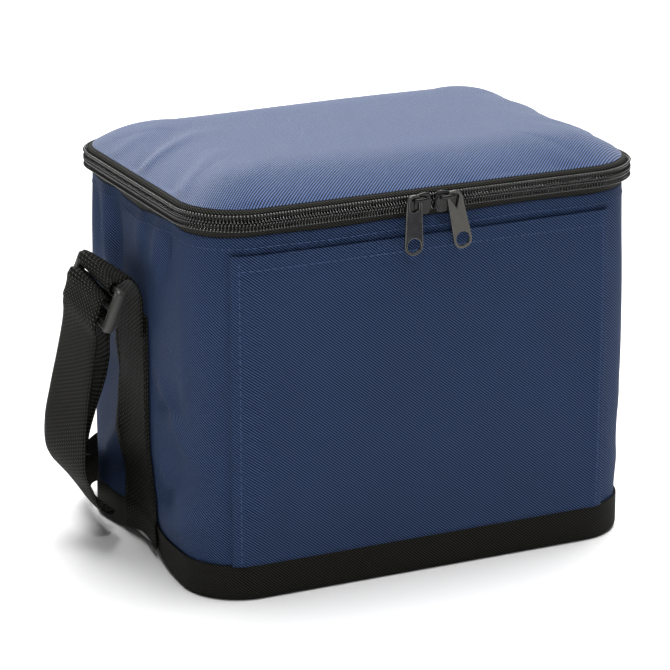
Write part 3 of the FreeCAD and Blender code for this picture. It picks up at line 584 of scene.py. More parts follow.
def line_on_wall(s, z, lift, surface=wall_out):
    """Points and normals of a path that lies on the wall."""
    s, z = np.broadcast_arrays(np.asarray(s, float), np.asarray(z, float))
    point, normal = walk(s)
    out = surface(s, z) + lift
    places = np.column_stack([point + normal * out[:, None], z])
    return places, np.column_stack([normal, np.zeros(len(s))])


# ---------------- the bag's walls and base


def make_wall():
    """Navy cloth over foam: one soft shell, folded in at its top edge."""
    s = laps(2.2 * MM)
    rise = np.linspace(0, 1, 84)
    foam = 5.8 * MM

    def section(place):
        top = float(wall_top(place))
        low = 1.4 * MM + float(base_lift(place))
        z_outer = low + (top - low) * rise
        outer = wall_out(place, z_outer)
        fold_z = top + np.array([0.25, 0.42, 0.30, -0.5]) * MM
        fold_out = outer[-1] + np.array([-0.10, -0.48, -0.95, -1.25]) * MM
        z_inner = np.linspace(top - 5.8 * MM, low + 0.4 * MM, 24)
        inner = wall_out(place, z_inner) - foam
        out = np.concatenate([outer, fold_out, [outer[-1] - 1.3 * MM], inner])
        return out, np.concatenate([z_outer, fold_z, [top - 5.6 * MM], z_inner])

    piece = tube("wall", round_the_bag(s[:-1], section), s, "bag", "navy_cloth", closed=True)
    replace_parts(piece, "wall_cloth", "wall_foam")


def make_liner():
    """The foil tub: crinkled walls, a floor, and a flange over the foam."""
    s = laps(4.4 * MM)
    floor_z, top_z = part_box("liner")[0].z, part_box("liner")[1].z
    rise = np.linspace(0, 1, 40)
    thick = 0.5 * MM

    def crinkle(place, z):
        slow = np.sin(z / (11 * MM) + place / (31 * MM))
        return -0.55 * MM * np.abs(np.sin(place / (9 * MM) + 2.0 * np.sin(z / (17 * MM))) * slow)

    def section(place):
        z = floor_z + 0.6 * MM + (top_z - floor_z - 0.7 * MM) * rise
        calm = np.sin(math.pi * np.clip(rise, 0.02, 0.98))
        wall = np.minimum(wall_out(place, z), 0.8 * MM) - 6.7 * MM + crinkle(place, z) * calm
        flange = min(-1.6 * MM, float(wall_out(place, top_z)) - 1.6 * MM)
        out = np.concatenate([wall[::-1] - thick, wall, [flange, flange, wall[-1] - thick]])
        return out, np.concatenate([z[::-1], z, top_z + np.array([-0.05, 0.35, 0.35]) * MM])

    piece = tube("liner_wall", round_the_bag(s[:-1], section), s, "bag", "foil", closed=True)
    floor = make_sheet_slab("liner_floor", -7.3 * MM, floor_z, floor_z + 0.8 * MM, "bag", "foil", 0.5 * MM)
    floor.parent = piece
    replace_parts(piece, "liner")


def inset_grid(out, count, t):
    """Points over the bag's plan, t of the way from its outline in to its middle ridge."""
    point, normal = walk(np.linspace(0, ROUND, count + 1)[:-1])
    edge = point + normal * out
    ridge = HALF_W - HALF_D
    centre = np.column_stack([np.clip(edge[:, 0], -ridge, ridge), np.zeros(count)])
    return edge, normal, edge[:, None] + (centre - edge)[:, None] * t[None, :, None]


def make_sheet_slab(name, out, low, high, body, slot, ripple=0.0):
    """A flat sheet with the bag's outline, both faces closed, its upper face a little uneven."""
    count, depth = 160, 14
    t = np.linspace(0, 1, depth)
    grid = inset_grid(out, count, t)[2]
    x, y = grid[..., 0], grid[..., 1]
    uneven = np.sin(x / (13 * MM)) * np.sin(y / (17 * MM)) + 0.4 * np.sin(x / (7 * MM) + y / (9 * MM))
    top = np.dstack([x, y, high + ripple * uneven * 0.5 * (t[None, :] > 0)])
    bottom = np.dstack([x, y, np.full(x.shape, low)])
    points = np.concatenate([top.reshape(-1, 3), bottom.reshape(-1, 3)])
    lower = count * depth
    faces = []
    for i in range(count):
        a, b = i * depth, (i + 1) % count * depth
        for k in range(depth - 1):
            quad = (a + k, b + k, b + k + 1, a + k + 1)
            faces += [quad, tuple(lower + v for v in quad[::-1])]
        faces.append((a, lower + a, lower + b, b))
    return clean(new_mesh(name, points, faces, body, slot), 0.02 * MM)


def base_out(s, z):
    """The base band's outer face: it follows the wall, and rolls in under the bag."""
    return wall_out(s, z) + 1.25 * MM


def make_base():
    """Black cloth under the bag, turned up as a band round its foot."""
    s = laps(2.6 * MM)
    thick = 1.0 * MM
    roll = 2.4 * MM
    rise = np.linspace(0, 1, 12)
    curl = np.radians([0, 30, 60])

    def section(place):
        lift = float(base_lift(place))
        z = roll + lift + (BAND_TOP - roll - lift) * rise
        outer = base_out(place, z)
        out = np.concatenate([
            np.array([-14.0, -10.0, -7.0]) * MM, outer[0] - roll * (1 - np.sin(curl)), outer,
            outer[-1] - np.array([0.25, 0.8]) * MM, outer[-2::-1] - thick,
            [outer[0] - roll * 0.75, -7.4 * MM, -14 * MM],
        ])
        zs = np.concatenate([
            lift * np.array([0.0, 0.06, 0.22]), lift + roll * (1 - np.cos(curl)), z,
            np.full(2, BAND_TOP + 0.3 * MM), z[-2::-1], [lift + 0.95 * MM, lift * 0.2 + 0.9 * MM, 0.9 * MM],
        ])
        return out, zs

    piece = tube("base_cloth", round_the_bag(s[:-1], section), s, "bag", "black_cloth", closed=True)
    bottom = make_sheet_slab("base_bottom", -13.5 * MM, 0.0, 0.95 * MM, "bag", "black_cloth")
    bottom.parent = piece
    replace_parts(piece, "base_band", "base_panel")


# ---------------- the front pocket


def pocket_out(s, z):
    """The pocket's outer face: it lies on the wall, and stands off it a little at its mouth."""
    left, right = pocket_ends()
    across = np.clip((s - left) / (right - left), 0, 1)
    open_mouth = np.sin(math.pi * across) * ease((z - (POCKET_HIGH.z - 60 * MM)) / (60 * MM))
    edge = np.minimum(s - left, right - s)
    ply = 1.2 * MM + 0.45 * MM * (1 - ease((edge - 5.5 * MM) / (1.4 * MM)))
    return wall_out(s, z) + ply + 0.15 * MM * open_mouth


def pocket_ends():
    """Where the pocket's two sides come along the outline."""
    shift = (POCKET_LOW.x + POCKET_HIGH.x) / 2
    half = (POCKET_HIGH.x - POCKET_LOW.x) / 2 + 0.8 * MM
    return FRONT_MIDDLE + shift - half, FRONT_MIDDLE + shift + half


def make_pocket():
    left, right = pocket_ends()
    s = np.linspace(left, right, 100)
    rise = np.linspace(0, 1, 72)
    low = POCKET_LOW.z - 0.6 * MM

    def section(place):
        across = (place - left) / (right - left)
        top = POCKET_HIGH.z - 0.5 * MM * math.sin(math.pi * across)
        z = low + (top - low) * rise
        outer = pocket_out(place, z)
        hem = 0.3 * MM * (1 - ease((top - z - 6.0 * MM) / (1.6 * MM)))
        end = min(place - left, right - place)
        closing = 0.35 * MM * (1 - float(ease(end / (0.9 * MM))))
        outer = outer + hem - closing
        inner = np.maximum(outer[::-1] - 1.0 * MM, wall_out(place, z[::-1]) + 0.12 * MM)
        fold_z = top + np.array([0.24, 0.38, 0.24]) * MM
        fold_out = outer[-1] - np.array([0.08, 0.42, 0.78]) * MM
        return np.concatenate([outer, fold_out, inner]), np.concatenate([z, fold_z, z[::-1]])

    piece = tube("pocket", round_the_bag(s, section), s, "bag", "navy_cloth")
    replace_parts(piece, "front_pocket")
    inset = 3.8 * MM
    z = np.linspace(low + 1 * MM, POCKET_HIGH.z - 1.0 * MM, 80)
    for name, place in (("pocket_seam_left", left + inset), ("pocket_seam_right", right - inset)):
        path = line_on_wall(np.full(len(z), place), z, 0.1 * MM, pocket_out)
        stitches(name, path, "navy_cloth", NAVY_THREAD)
    path = line_on_wall(
        np.linspace(left + inset, right - inset, 110), POCKET_HIGH.z - 6.4 * MM, 0.35 * MM, pocket_out,
    )
    stitches("pocket_hem_seam", path, "navy_cloth", NAVY_THREAD)


# ---------------- the zip


def make_tapes():
    """The zip's two tapes: the lower one sewn in the wall's top, the upper one round the lid."""
    s = zip_line(2.2 * MM)
    face = CHAIN_OUT - 2.35 * MM

    def lower(place):
        top = float(wall_top(place))
        edge = float(wall_out(place, top))
        swell = 0.9 * MM * math.exp(-((float(round_gap(place, LEFT_MIDDLE)) / (30 * MM)) ** 2))
        out = [edge - 1.9 * MM, edge - 1.2 * MM, edge - 0.55 * MM, edge * 0.5 + 0.9 * MM + swell,
               face + 0.1 * MM, face, face - 0.8 * MM, face - 0.75 * MM, edge - 1.9 * MM]
        z = [top - 4.0 * MM, top - 4.0 * MM, top + 0.2 * MM, (top + COIL_LOW) / 2 + 0.3 * MM,
             COIL_LOW + 0.4 * MM, PARTING - 0.5 * MM, PARTING - 0.5 * MM, COIL_LOW + 0.6 * MM, top + 0.2 * MM]
        return out, z

    lid_side = -LID_INSET
    upper_out = [face, face + 0.1 * MM, face - 0.35 * MM, face - 1.3 * MM, lid_side - 0.2 * MM,
                 lid_side - 3.4 * MM, lid_side - 3.4 * MM, lid_side, face - 0.9 * MM, face - 0.8 * MM]
    upper_z = [PARTING + 0.5 * MM, COIL_HIGH - 0.4 * MM, COIL_HIGH + 0.9 * MM, LID_EDGE - 0.15 * MM,
               LID_EDGE + 0.15 * MM, LID_EDGE - 0.2 * MM, LID_EDGE - 0.9 * MM, LID_EDGE - 0.95 * MM,
               COIL_HIGH - 0.6 * MM, PARTING + 0.5 * MM]
    piece = tube("lower_tape", round_the_bag(s, lower), s, "bag", "zip_tape")
    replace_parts(piece, "lower_zip_tape")
    rows = round_the_bag(s, lambda place: (upper_out, upper_z))
    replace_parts(tube("upper_tape", rows, s, "lid", "zip_tape"), "upper_zip_tape")


# A coil turn's rings: place across the tape, girth, and how far it bows out.
TURN_SHARE = np.array([0.0, 0.08, 0.24, 0.38, 0.62, 0.76, 0.92, 1.0])
TURN_GIRTH = np.array([0.40, 0.90, 0.78, 0.40, 0.40, 0.72, 0.92, 0.42]) * 0.66 * MM
TURN_BOW = np.array([-0.20, 0.40, 0.30, -0.30, -0.32, 0.25, 0.42, -0.20]) * MM


def tooth_row(name, body, node, start, inner_z, outer_z):
    """One row of the nylon coil: each turn a bent, plump thread with a bead at both ends."""
    pitch = 1.36 * MM
    first = ZIP_END + start
    count = int((ROUND - ZIP_END - 0.3 * MM - first) / pitch)
    around = turns(7)
    slant = (TURN_SHARE - 0.5) * 0.55 * MM
    z = inner_z + (outer_z - inner_z) * TURN_SHARE
    out = CHAIN_OUT - 1.05 * MM + TURN_BOW
    points, faces = [], []
    for middle, normal in zip(*walk(first + pitch * np.arange(count))):
        along = np.array([normal[1], -normal[0]])
        faces += ring_faces(len(points), len(z), len(around))
        for i in range(len(z)):
            xy = middle + normal * out[i] + along * slant[i]
            for a in around:
                spot = xy + TURN_GIRTH[i] * (math.cos(a) * along + math.sin(a) * normal * 0.9)
                points.append((spot[0], spot[1], z[i]))
    piece = clean(new_mesh(name, points, faces, body, "zip_teeth", no_weave(faces)))
    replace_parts(piece, node)


def make_teeth():
    """Both rows of the coil, and the cord that each is wound on."""
    tooth_row("lower_teeth", "bag", "lower_zip_coil", 0.3 * MM, PARTING + 0.02 * MM, COIL_LOW - 0.1 * MM)
    tooth_row("upper_teeth", "lid", "upper_zip_coil", 0.98 * MM, PARTING + 0.1 * MM, COIL_HIGH + 0.15 * MM)
    s = zip_line(2.0 * MM)
    around = turns(8)
    out = CHAIN_OUT - 1.75 * MM + 0.42 * MM * np.cos(around)
    for name, body, height in (
        ("lower_core", "bag", COIL_LOW + 1.5 * MM),
        ("upper_core", "lid", COIL_HIGH - 1.5 * MM),
    ):
        z = height + 1.15 * MM * np.sin(around)
        tube(name, round_the_bag(s, lambda place: (out, z)), s, body, "zip_tape")


def make_hinge():
    """The cloth that joins the lid to the wall across the back: one fixed piece, bowed out along the hinge
    line.
    """
    half = ZIP_END - 4.3 * MM
    u = np.linspace(-half, half, 70)
    back = 0.8 * MM
    out = np.array([-1.9, -1.2, -0.6, 0.8, 2.3, 2.9, 3.0, 2.9, 2.3, 0.8, -1.0, -4.0]) * MM
    z = np.array([
        WALL_TOP - 4.0 * MM, WALL_TOP - 4.0 * MM, WALL_TOP + 0.2 * MM, WALL_TOP + 2.0 * MM,
        COIL_LOW + 0.4 * MM, COIL_LOW + 1.8 * MM, PARTING, COIL_HIGH - 1.8 * MM, COIL_HIGH - 0.4 * MM,
        COIL_HIGH + 1.1 * MM, LID_EDGE + 0.1 * MM, LID_EDGE - 0.1 * MM,
    ])
    inward = np.array([0, 0.4, 1, 1, 1, 1, 1, 1, 1, 1, 0.2, 0])
    downward = np.array([1, 1, 0.6, 0.3, 0, 0, 0, 0, -0.4, -0.6, 0, 0])
    section = np.concatenate([out, out[::-1] - back * inward]), np.concatenate([z, z[::-1] - back * downward])
    piece = tube("hinge_cloth", round_the_bag(u % ROUND, lambda place: section), u, None, "black_cloth")
    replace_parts(piece, "hinge_strip_lower", "hinge_strip_upper")
    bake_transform(piece)


# ---------------- the lid

# Creases in the lid: each runs from the first place to the second, in plan, and fades inward.
LID_CREASES = [
    ((-106, -3), (-64, 20), 3.2, 1.5),
    ((-104, 5), (-72, 25), 4, -1.0),
    ((-106, -47), (-76, -18), 3.2, 1.3),
    ((-105, -35), (-80, -12), 4, -0.9),
    ((-103, 30), (-70, 38), 5, 0.9),
    ((-80, -72), (-72, -48), 5, 0.5),
    ((103, -30), (82, -18), 5, 0.9),
    ((104, -6), (84, -2), 4, -0.8),
    ((103, 22), (80, 14), 5, 0.8),
    ((20, -70), (24, -54), 7, 0.4),
    ((70, -68), (60, -50), 6, 0.6),
]
LID_DEPTH = 1.35


def lid_creases(x, y):
    total = np.zeros(x.shape)
    for start, end, half, height in LID_CREASES:
        t, gap2 = beside(x, y, start, end)
        total += LID_DEPTH * height * MM * (1 - 0.75 * t) * np.exp(-gap2 / (half * MM * (1 + t)) ** 2)
    return total


def lid_height(x, y, edge_gap):
    """The lid's puffed upper face."""
    crown = LID_TOP - LID_EDGE + 2.2 * MM
    share = np.clip(edge_gap / (39 * MM), 0, 1)
    rise = crown * (1 - (1 - share) ** 2.4)
    soft = 0.5 * MM * np.sin(x / (31 * MM) + 0.6) * np.sin(y / (27 * MM) + 0.3)
    near_edge = ease(edge_gap / (3 * MM))
    return LID_EDGE + 0.2 * MM + rise + (soft + lid_creases(x, y)) * near_edge


def make_lid():
    """The puffed lid cloth: its upper face, its edge rolled under, and the cloth's lower face."""
    t = np.linspace(0, 1, 60) ** 1.5
    edge, normal, grid = inset_grid(-LID_INSET + 0.4 * MM, 420, t)
    x, y = grid[..., 0], grid[..., 1]
    edge_gap = np.abs(((grid - edge[:, None]) * normal[:, None]).sum(2))
    z = lid_height(x, y, edge_gap)
    top = np.dstack([x, y, z])
    deep = np.dstack([x, y, z - 1.2 * MM])[:, ::-1][:, :-8]
    under = np.column_stack([edge - normal * 3.0 * MM, np.full(len(edge), LID_EDGE + 0.3 * MM)])
    lip = np.column_stack([edge - normal * 0.3 * MM, np.full(len(edge), LID_EDGE - 0.25 * MM)])
    columns = np.concatenate([top, deep, under[:, None], lip[:, None]], 1)
    count, depth = columns.shape[:2]
    faces = []
    for i in range(count):
        a, b = i * depth, (i + 1) % count * depth
        for k in range(depth):
            if k != len(t) - 1:
                k2 = (k + 1) % depth
                faces.append((a + k, a + k2, b + k2, b + k))
    piece = clean(new_mesh("lid", columns.reshape(-1, 3), faces, "lid", "navy_cloth"), 0.03 * MM)
    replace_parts(piece, "lid_cover")
    # The lid wears the lighter copy of the navy: painted light on its top face.
    dress(piece, LIT_LID_NAVY)


def make_lid_lining():
    """The foil under the lid's foam, which closes the bag."""
    low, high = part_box("lid_liner")
    piece = make_sheet_slab("lid_lining", high.x - HALF_W, low.z, high.z, "lid", "foil", 0.2 * MM)
    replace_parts(piece, "lid_liner")


# ---------------- zip sliders and their pulls


def plate(name, outline, holes, thick, bevel, body, slot, place):
    """A flat piece cut to an outline of (x, z) points with holes, with rounded edges."""
    curve = bpy.data.curves.new(name, "CURVE")
    curve.dimensions = "2D"
    curve.fill_mode = "BOTH"
    curve.extrude = thick / 2 - bevel
    curve.bevel_depth = bevel
    curve.bevel_resolution = 2
    curve.offset = -bevel
    for loop in [outline] + holes:
        spline = curve.splines.new("POLY")
        spline.points.add(len(loop) - 1)
        for spot, (x, z) in zip(spline.points, loop):
            spot.co = (x, z, 0, 1)
        spline.use_cyclic_u = True
    holder = bpy.data.objects.new(name + "_curve", curve)
    mesh = bpy.data.meshes.new_from_object(holder)
    bpy.data.objects.remove(holder)
    mesh.transform(place)
    mesh.name = name
    piece = bpy.data.objects.new(name, mesh)
    bpy.context.scene.collection.objects.link(piece)
    clean(piece, 0.005 * MM)
    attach(piece, body)
    return dress(piece, SKINS[slot])


def arc(x, z, radius, start, end, count):
    angles = np.radians(np.linspace(start, end, count))
    return [(x + radius * math.cos(a), z + radius * math.sin(a)) for a in angles]


def facing_front(x, y, z, lean=0.0):
    """Turns a plate drawn in (x, z) to face the front, at a place, leaning sideways."""
    stand = Matrix.Rotation(math.radians(90), 4, "X")
    return Matrix.Translation((x, y, z)) @ Matrix.Rotation(math.radians(lean), 4, "Y") @ stand


def joint_place(name):
    return Vector(next(j for j in frame["joints"] if j["name"] == name)["pos_m"])


# Half outlines of the slider's parts, in millimetres from its inner end and from its middle line.
SLIDER_BODY = [(0.4, 2.695), (1.6, 4.606), (3.4, 4.9), (5.6, 4.557), (8.4, 3.6), (10.6, 3.6), (11.4, 2.88)]
SLIDER_RIB = [(0.6, 1.2), (2.2, 3.038), (5.0, 2.94), (8.6, 2.0)]
SLIDER_UNDER = [(x, z / 2) for x, z in SLIDER_BODY]
SLIDER_NECK = [(0.5, 0.24), (5, 0.24)]


def make_slider(side_name, sign):
    """The slider: a waisted plate with a raised rib, a bridge for the pull, a neck and a back plate."""
    low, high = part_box("slider_" + side_name)
    body = side_name + "_slider"
    near = high.x if sign < 0 else low.x
    face_y = -(HALF_D + CHAIN_OUT) - 0.25 * MM

    def part(tag, half, thick, bevel, y):
        upper = [(near + sign * x * MM, z * MM) for x, z in half]
        outline = upper + [(x, -z) for x, z in upper[::-1]]
        place = facing_front(0, y, PARTING)
        name = "slider_" + tag + "_" + side_name
        return plate(name, outline, [], thick * MM, bevel * MM, body, "slider_metal", place)

    piece = part("body", SLIDER_BODY, 1.25, 0.42, face_y - 0.6 * MM)
    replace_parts(piece, "slider_" + side_name)
    rib = part("rib", SLIDER_RIB, 0.7, 0.25, face_y - 1.35 * MM)
    pivot = joint_place(side_name + "_pull_swing")
    inner_x = near + sign * 2.6 * MM
    line = []
    for angle in np.linspace(0, math.pi, 17):
        flat = np.sign(math.cos(angle)) * abs(math.cos(angle)) ** 0.45
        x = (inner_x + pivot.x) / 2 - sign * flat * abs(pivot.x - inner_x) / 2
        line.append((x, face_y - 0.8 * MM - 2.7 * MM * math.sin(angle) ** 0.5, pivot.z))
    up = np.array([0, 0, 1.0])
    loops = [
        [p + 0.48 * MM * math.cos(a) * np.cross(way, up) + 0.85 * MM * math.sin(a) * up for a in turns(10)]
        for p, way in zip(np.array(line), unit(np.gradient(np.array(line), axis=0)))
    ]
    bridge = tube("slider_bridge_" + side_name, loops, np.arange(len(line)) * MM, body, "slider_metal")
    under = part("under", SLIDER_UNDER, 0.8, 0.2, -HALF_D)
    neck = part("neck", SLIDER_NECK, 5.0, 0.05, -HALF_D - 2.3 * MM)
    for member in (rib, bridge, under, neck):
        member.parent = piece


def slot_hole(radius, high, low, pointed):
    """A ring's opening: round above, and round or pointed below."""
    foot = [(0, low - radius * 1.25)] if pointed else arc(0, low, radius, 200, 340, 9)
    return arc(0, high, radius, 0, 180, 12) + foot


def make_pull(side_name, lean, material, pointed):
    """A flat tab with a ring at each end: a bright rim round a duller face."""
    low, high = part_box("pull_" + side_name)
    pivot = joint_place(side_name + "_pull_swing")
    ring_drop = 1.15 * MM
    reach = 18.9 * MM
    swing = math.radians(lean)
    centre = Vector((pivot.x - math.sin(swing) * ring_drop, 0, pivot.z - math.cos(swing) * ring_drop))

    def tab(tag, grow, thick, bevel, out, skin):
        top_r, end_r = 3.6 * MM + grow, 4.4 * MM + grow
        outline = arc(0, 0, top_r, 2, 178, 14)
        if pointed:
            sides = [(1, -0.1), (0.86, -0.62), (0.42, -0.98)]
            left = [(-end_r * a, -reach + end_r * b) for a, b in sides]
            outline += left + [(-x, z) for x, z in left[::-1]]
        else:
            outline += arc(0, -reach, end_r, 180, 360, 22)
        holes = [
            slot_hole(2.25 * MM - grow, 0.1 * MM, -1.9 * MM, pointed),
            arc(0, -reach, 3.15 * MM - grow, 0, 345, 24),
        ]
        place = facing_front(centre.x, (low.y + high.y) / 2 - out, centre.z, lean)
        body = side_name + "_pull"
        piece = plate(tag + side_name, outline, holes, thick, bevel, body, "slider_metal", place)
        return dress(piece, skin)

    piece = tab("pull_rim_", 0.0, 1.25 * MM, 0.3 * MM, 0.0, RIM_METAL)
    face = tab("pull_face_", -0.42 * MM, 0.5 * MM, 0.12 * MM, 0.52 * MM, material)
    face.parent = piece
    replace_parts(piece, "pull_" + side_name)


# ---------------- webbing


def smooth_path(points, step):
    """A Catmull-Rom line through the points, evenly spaced. Columns past the third ride along."""
    points = np.asarray(points, float)
    padded = np.vstack([2 * points[0] - points[1], points, 2 * points[-1] - points[-2]])
    fine = []
    for i in range(1, len(padded) - 2):
        p0, p1, p2, p3 = padded[i - 1:i + 3]
        for t in np.linspace(0, 1, 24, endpoint=False):
            fine.append(0.5 * (2 * p1 + (p2 - p0) * t + (2 * p0 - 5 * p1 + 4 * p2 - p3) * t ** 2
                               + (3 * p1 - p0 - 3 * p2 + p3) * t ** 3))
    fine.append(points[-1])
    fine = np.array(fine)
    along = path_length(fine[:, :3])
    even = np.linspace(0, along[-1], max(4, int(along[-1] / step)) + 1)
    return even, on_path(even, along, fine)


def across_webbing(count, thick):
    """Shares of the webbing's width, its half thickness there, and the weave round its section."""
    share = np.linspace(-0.5, 0.5, count)
    half = np.sqrt(np.clip(1 - (np.abs(share) * 2) ** 10, 0.03, 1)) * thick / 2
    width = np.linspace(0, STRAP_WIDTH, count)
    return share, half, np.concatenate([width, width[::-1], [0]])


def band(name, stations, step):
    """Webbing through stations (x, y, z, across x, y, z, chord), curling where its chord is short."""
    even, path = smooth_path(stations, step)
    middle, wide, chord = path[:, :3], path[:, 3:6], path[:, 6]
    way = unit(np.gradient(middle, axis=0))
    wide = unit(wide - (wide * way).sum(1)[:, None] * way)
    thin = np.cross(way, wide)
    share, half, v = across_webbing(15, 1.5 * MM)
    rows = []
    for i in range(len(even)):
        bend = 0.45 * math.sqrt(24 * (1 - min(chord[i] / STRAP_WIDTH, 0.9995)))
        radius = chord[i] / (2 * math.sin(bend / 2))
        rise = -radius * np.cos(share * bend)
        rise = rise - rise.mean()
        flat = middle[i] + np.outer(radius * np.sin(share * bend), wide[i])
        upper, lower = (flat + np.outer(rise + side * half, thin[i]) for side in (1, -1))
        rows.append(np.vstack([upper, lower[::-1]]))
    return tube(name, rows, even, "strap", "webbing", v=v), even[-1]


def make_anchor(side):
    """Webbing sewn up the side, over the base band and into the bottom seam."""
    node = "strap_anchor_" + side
    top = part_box(node)[1].z
    heights = np.concatenate([[2.5, 6, 11, 15.5, 19], np.linspace(24, top / MM, 14)]) * MM
    share, half, v = across_webbing(17, 1.6 * MM)
    s = ANCHOR_MIDDLE[side] + share * STRAP_WIDTH
    point, normal = walk(s)
    rows = []
    for z in heights:
        over_band = 1.3 * MM * (1 - float(ease((z - BAND_TOP) / (3 * MM))))
        lift = base_lift(s) * (1 - ease(z / (20 * MM)))
        out = wall_out(s, z) + over_band + 0.95 * MM
        upper = np.column_stack([point + normal * (out + half)[:, None], z + lift])
        lower = np.column_stack([point + normal * (out - half)[:, None], z + lift])
        rows.append(np.vstack([upper, lower[::-1]]))
    piece = tube("anchor_" + side, rows, heights, "bag", "webbing", v=v)
    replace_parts(piece, node)


def side_seams(side):
    """Thread up both edges of the webbing."""
    inset = STRAP_WIDTH / 2 - 3.6 * MM
    z = np.linspace(20 * MM, ANCHOR_HIGH.z - 12 * MM, 30)
    for tag, shift in (("rear", -inset), ("fore", inset)):
        path = line_on_wall(ANCHOR_MIDDLE[side] + shift, z, 1.72 * MM)
        stitches("anchor_" + side + "_seam_" + tag, path, "webbing", BLACK_THREAD)


# The adjuster leans out at its foot, and hangs a little askew. SLEWED is the way its bars run.
GLIDE_TILT = math.radians(18)
GLIDE_SLEW = math.radians(9)
SLEWED = (0, math.cos(GLIDE_SLEW), math.sin(GLIDE_SLEW))
GLIDE_LOW, GLIDE_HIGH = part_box("tri_glide")
GLIDE_MIDDLE = (GLIDE_LOW + GLIDE_HIGH) / 2

# From a bar's middle to the middle of the webbing round it, in millimetres.
BAR_REACH = 2.8


def glide_place(up, out):
    """A point in millimetres from the adjuster's middle: up along it, and out from the bag."""
    x = GLIDE_MIDDLE.x + (up * math.sin(GLIDE_TILT) - out * math.cos(GLIDE_TILT)) * MM
    z = GLIDE_MIDDLE.z + (up * math.cos(GLIDE_TILT) + out * math.sin(GLIDE_TILT)) * MM
    return (x, GLIDE_MIDDLE.y, z)


def make_glide():
    """The moulded adjuster: a ladder with plump side rails."""
    half_y, half_up, round_off = 23.6 * MM, 9.9 * MM, 3 * MM
    window = 20.2 * MM
    outline = []
    for side, end, start in ((1, 1, 0), (-1, 1, 90), (-1, -1, 180), (1, -1, 270)):
        y, z = side * (half_y - round_off), end * (half_up - round_off)
        outline += arc(y, z, round_off, start, start + 90, 7)
    windows = []
    for low, high in ((1.5 * MM, 7.0 * MM), (-7.0 * MM, -1.5 * MM)):
        windows.append([(-window, low), (window, low), (window, high), (-window, high)])
    lean, rise = math.sin(GLIDE_TILT), math.cos(GLIDE_TILT)
    turned = Matrix(((0, lean, -rise, 0), (1, 0, 0, 0), (0, rise, lean, 0), (0, 0, 0, 1)))
    place = Matrix.Translation(GLIDE_MIDDLE) @ Matrix.Rotation(GLIDE_SLEW, 4, "X") @ turned
    piece = plate("adjuster", outline, windows, 2.3 * MM, 0.7 * MM, "strap", "glide_plastic", place)
    rail_end = half_up - 1.9 * MM
    for tag, y in (("fore", -half_y + 1.9 * MM), ("rear", half_y - 1.9 * MM)):
        rail = arc(y, rail_end, 2.1 * MM, 0, 180, 9) + arc(y, -rail_end, 2.1 * MM, 180, 360, 9)
        side = plate("adjuster_rail_" + tag, rail, [], 4.6 * MM, 1.3 * MM, "strap", "glide_plastic", place)
        side.parent = piece
    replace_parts(piece, "tri_glide")


def station(x, y, z, across=(0, 1, 0), chord=38.0):
    return (x * MM, y * MM, z * MM) + tuple(across) + (chord * MM,)


def glide_station(up, out):
    return glide_place(up, out) + SLEWED + (STRAP_WIDTH,)


def round_bar(up, degrees):
    """Stations round one of the adjuster's bars."""
    angles = [math.radians(turn) for turn in degrees]
    return [glide_station(up + BAR_REACH * math.cos(a), BAR_REACH * math.sin(a)) for a in angles]


# The free strap: its middle in millimetres, the direction of its width, and how wide it lies. It
# hangs beside the bag, goes round behind it on edge, and comes back up the right side.
STRAP_ROUTE = [
    (-131.0, 7.5, 107, (-0.03, 1, 0), 38),
    (-132.6, 10.5, 90, (-0.05, 1, 0), 38),
    (-134.2, 14.5, 72, (-0.09, 1, 0), 38),
    (-135.0, 18.5, 55, (-0.13, 0.99, 0.02), 38),
    (-133.6, 22.0, 41, (-0.12, 0.99, 0.05), 38),
    (-128.5, 25.0, 30.5, (-0.08, 0.98, 0.12), 38),
    (-122.0, 27.5, 23.5, (0.22, 0.95, 0.22), 34),
    (-117.6, 34.0, 22.5, (0.15, 0.87, 0.49), 28),
    (-114.4, 43.5, 21.5, (0, 0.60, 0.80), 23),
    (-112.8, 54.0, 20.0, (-0.03, 0.38, 0.92), 19),
    (-109.6, 66.0, 19.0, (-0.10, 0.24, 0.96), 19),
    (-103.0, 75.5, 18.0, (-0.10, 0.20, 0.96), 20),
    (-91.5, 83.8, 17.4, (-0.08, 0.20, 0.95), 24),
    (-70, 92, 17.2, (-0.05, 0.20, 0.97), 30),
    (-42, 104, 18.0, (0, 0.15, 0.98), 35),
    (-12, 120, 18.8, (0, 0.08, 1), 37),
    (14, 142, 19.2, (0, 0, 1), 38),
    (33, 172, 19.2, (0, 0, 1), 38),
    (44, 205, 19.2, (0, 0, 1), 38),
    (58, 235, 19.2, (0, 0, 1), 38),
    (82, 252, 19.2, (0, 0, 1), 38),
    (110, 248, 19.2, (0, 0, 1), 38),
    (129, 226, 19.2, (0, 0, 1), 38),
    (135, 194, 19.2, (0, 0, 1), 38),
    (133, 160, 19.2, (0, 0, 1), 38),
    (130.5, 125, 19.3, (0, 0.05, 1), 38),
    (128.5, 94, 21.5, (0, 0.30, 0.95), 38),
    (127, 68, 26, (0, 0.55, 0.83), 38),
    (126, 46, 36, (0, 0.78, 0.62), 38),
    (125, 29, 52, (0, 0.92, 0.39), 38),
    (124, 17, 72, (0, 0.98, 0.20), 38),
    (123, 9.5, 93, (0, 1, 0.08), 38),
    (121.8, 6.5, 110, (0, 1, 0), 38),
]

# The short end inside the strap, from its cut edge up to the adjuster.
TAIL_ROUTE = [
    (-132.4, 21.5, 54, (-0.10, 0.99, 0.03), 38),
    (-130.9, 18.5, 64, (-0.07, 1, 0.02), 38),
    (-128.4, 14.5, 76, (-0.03, 1, 0.02), 38),
    (-125.8, 10.0, 89, (0, 1, 0.04), 38),
    (-124.6, 7.0, 101, (0, 0.99, 0.12), 38),
]


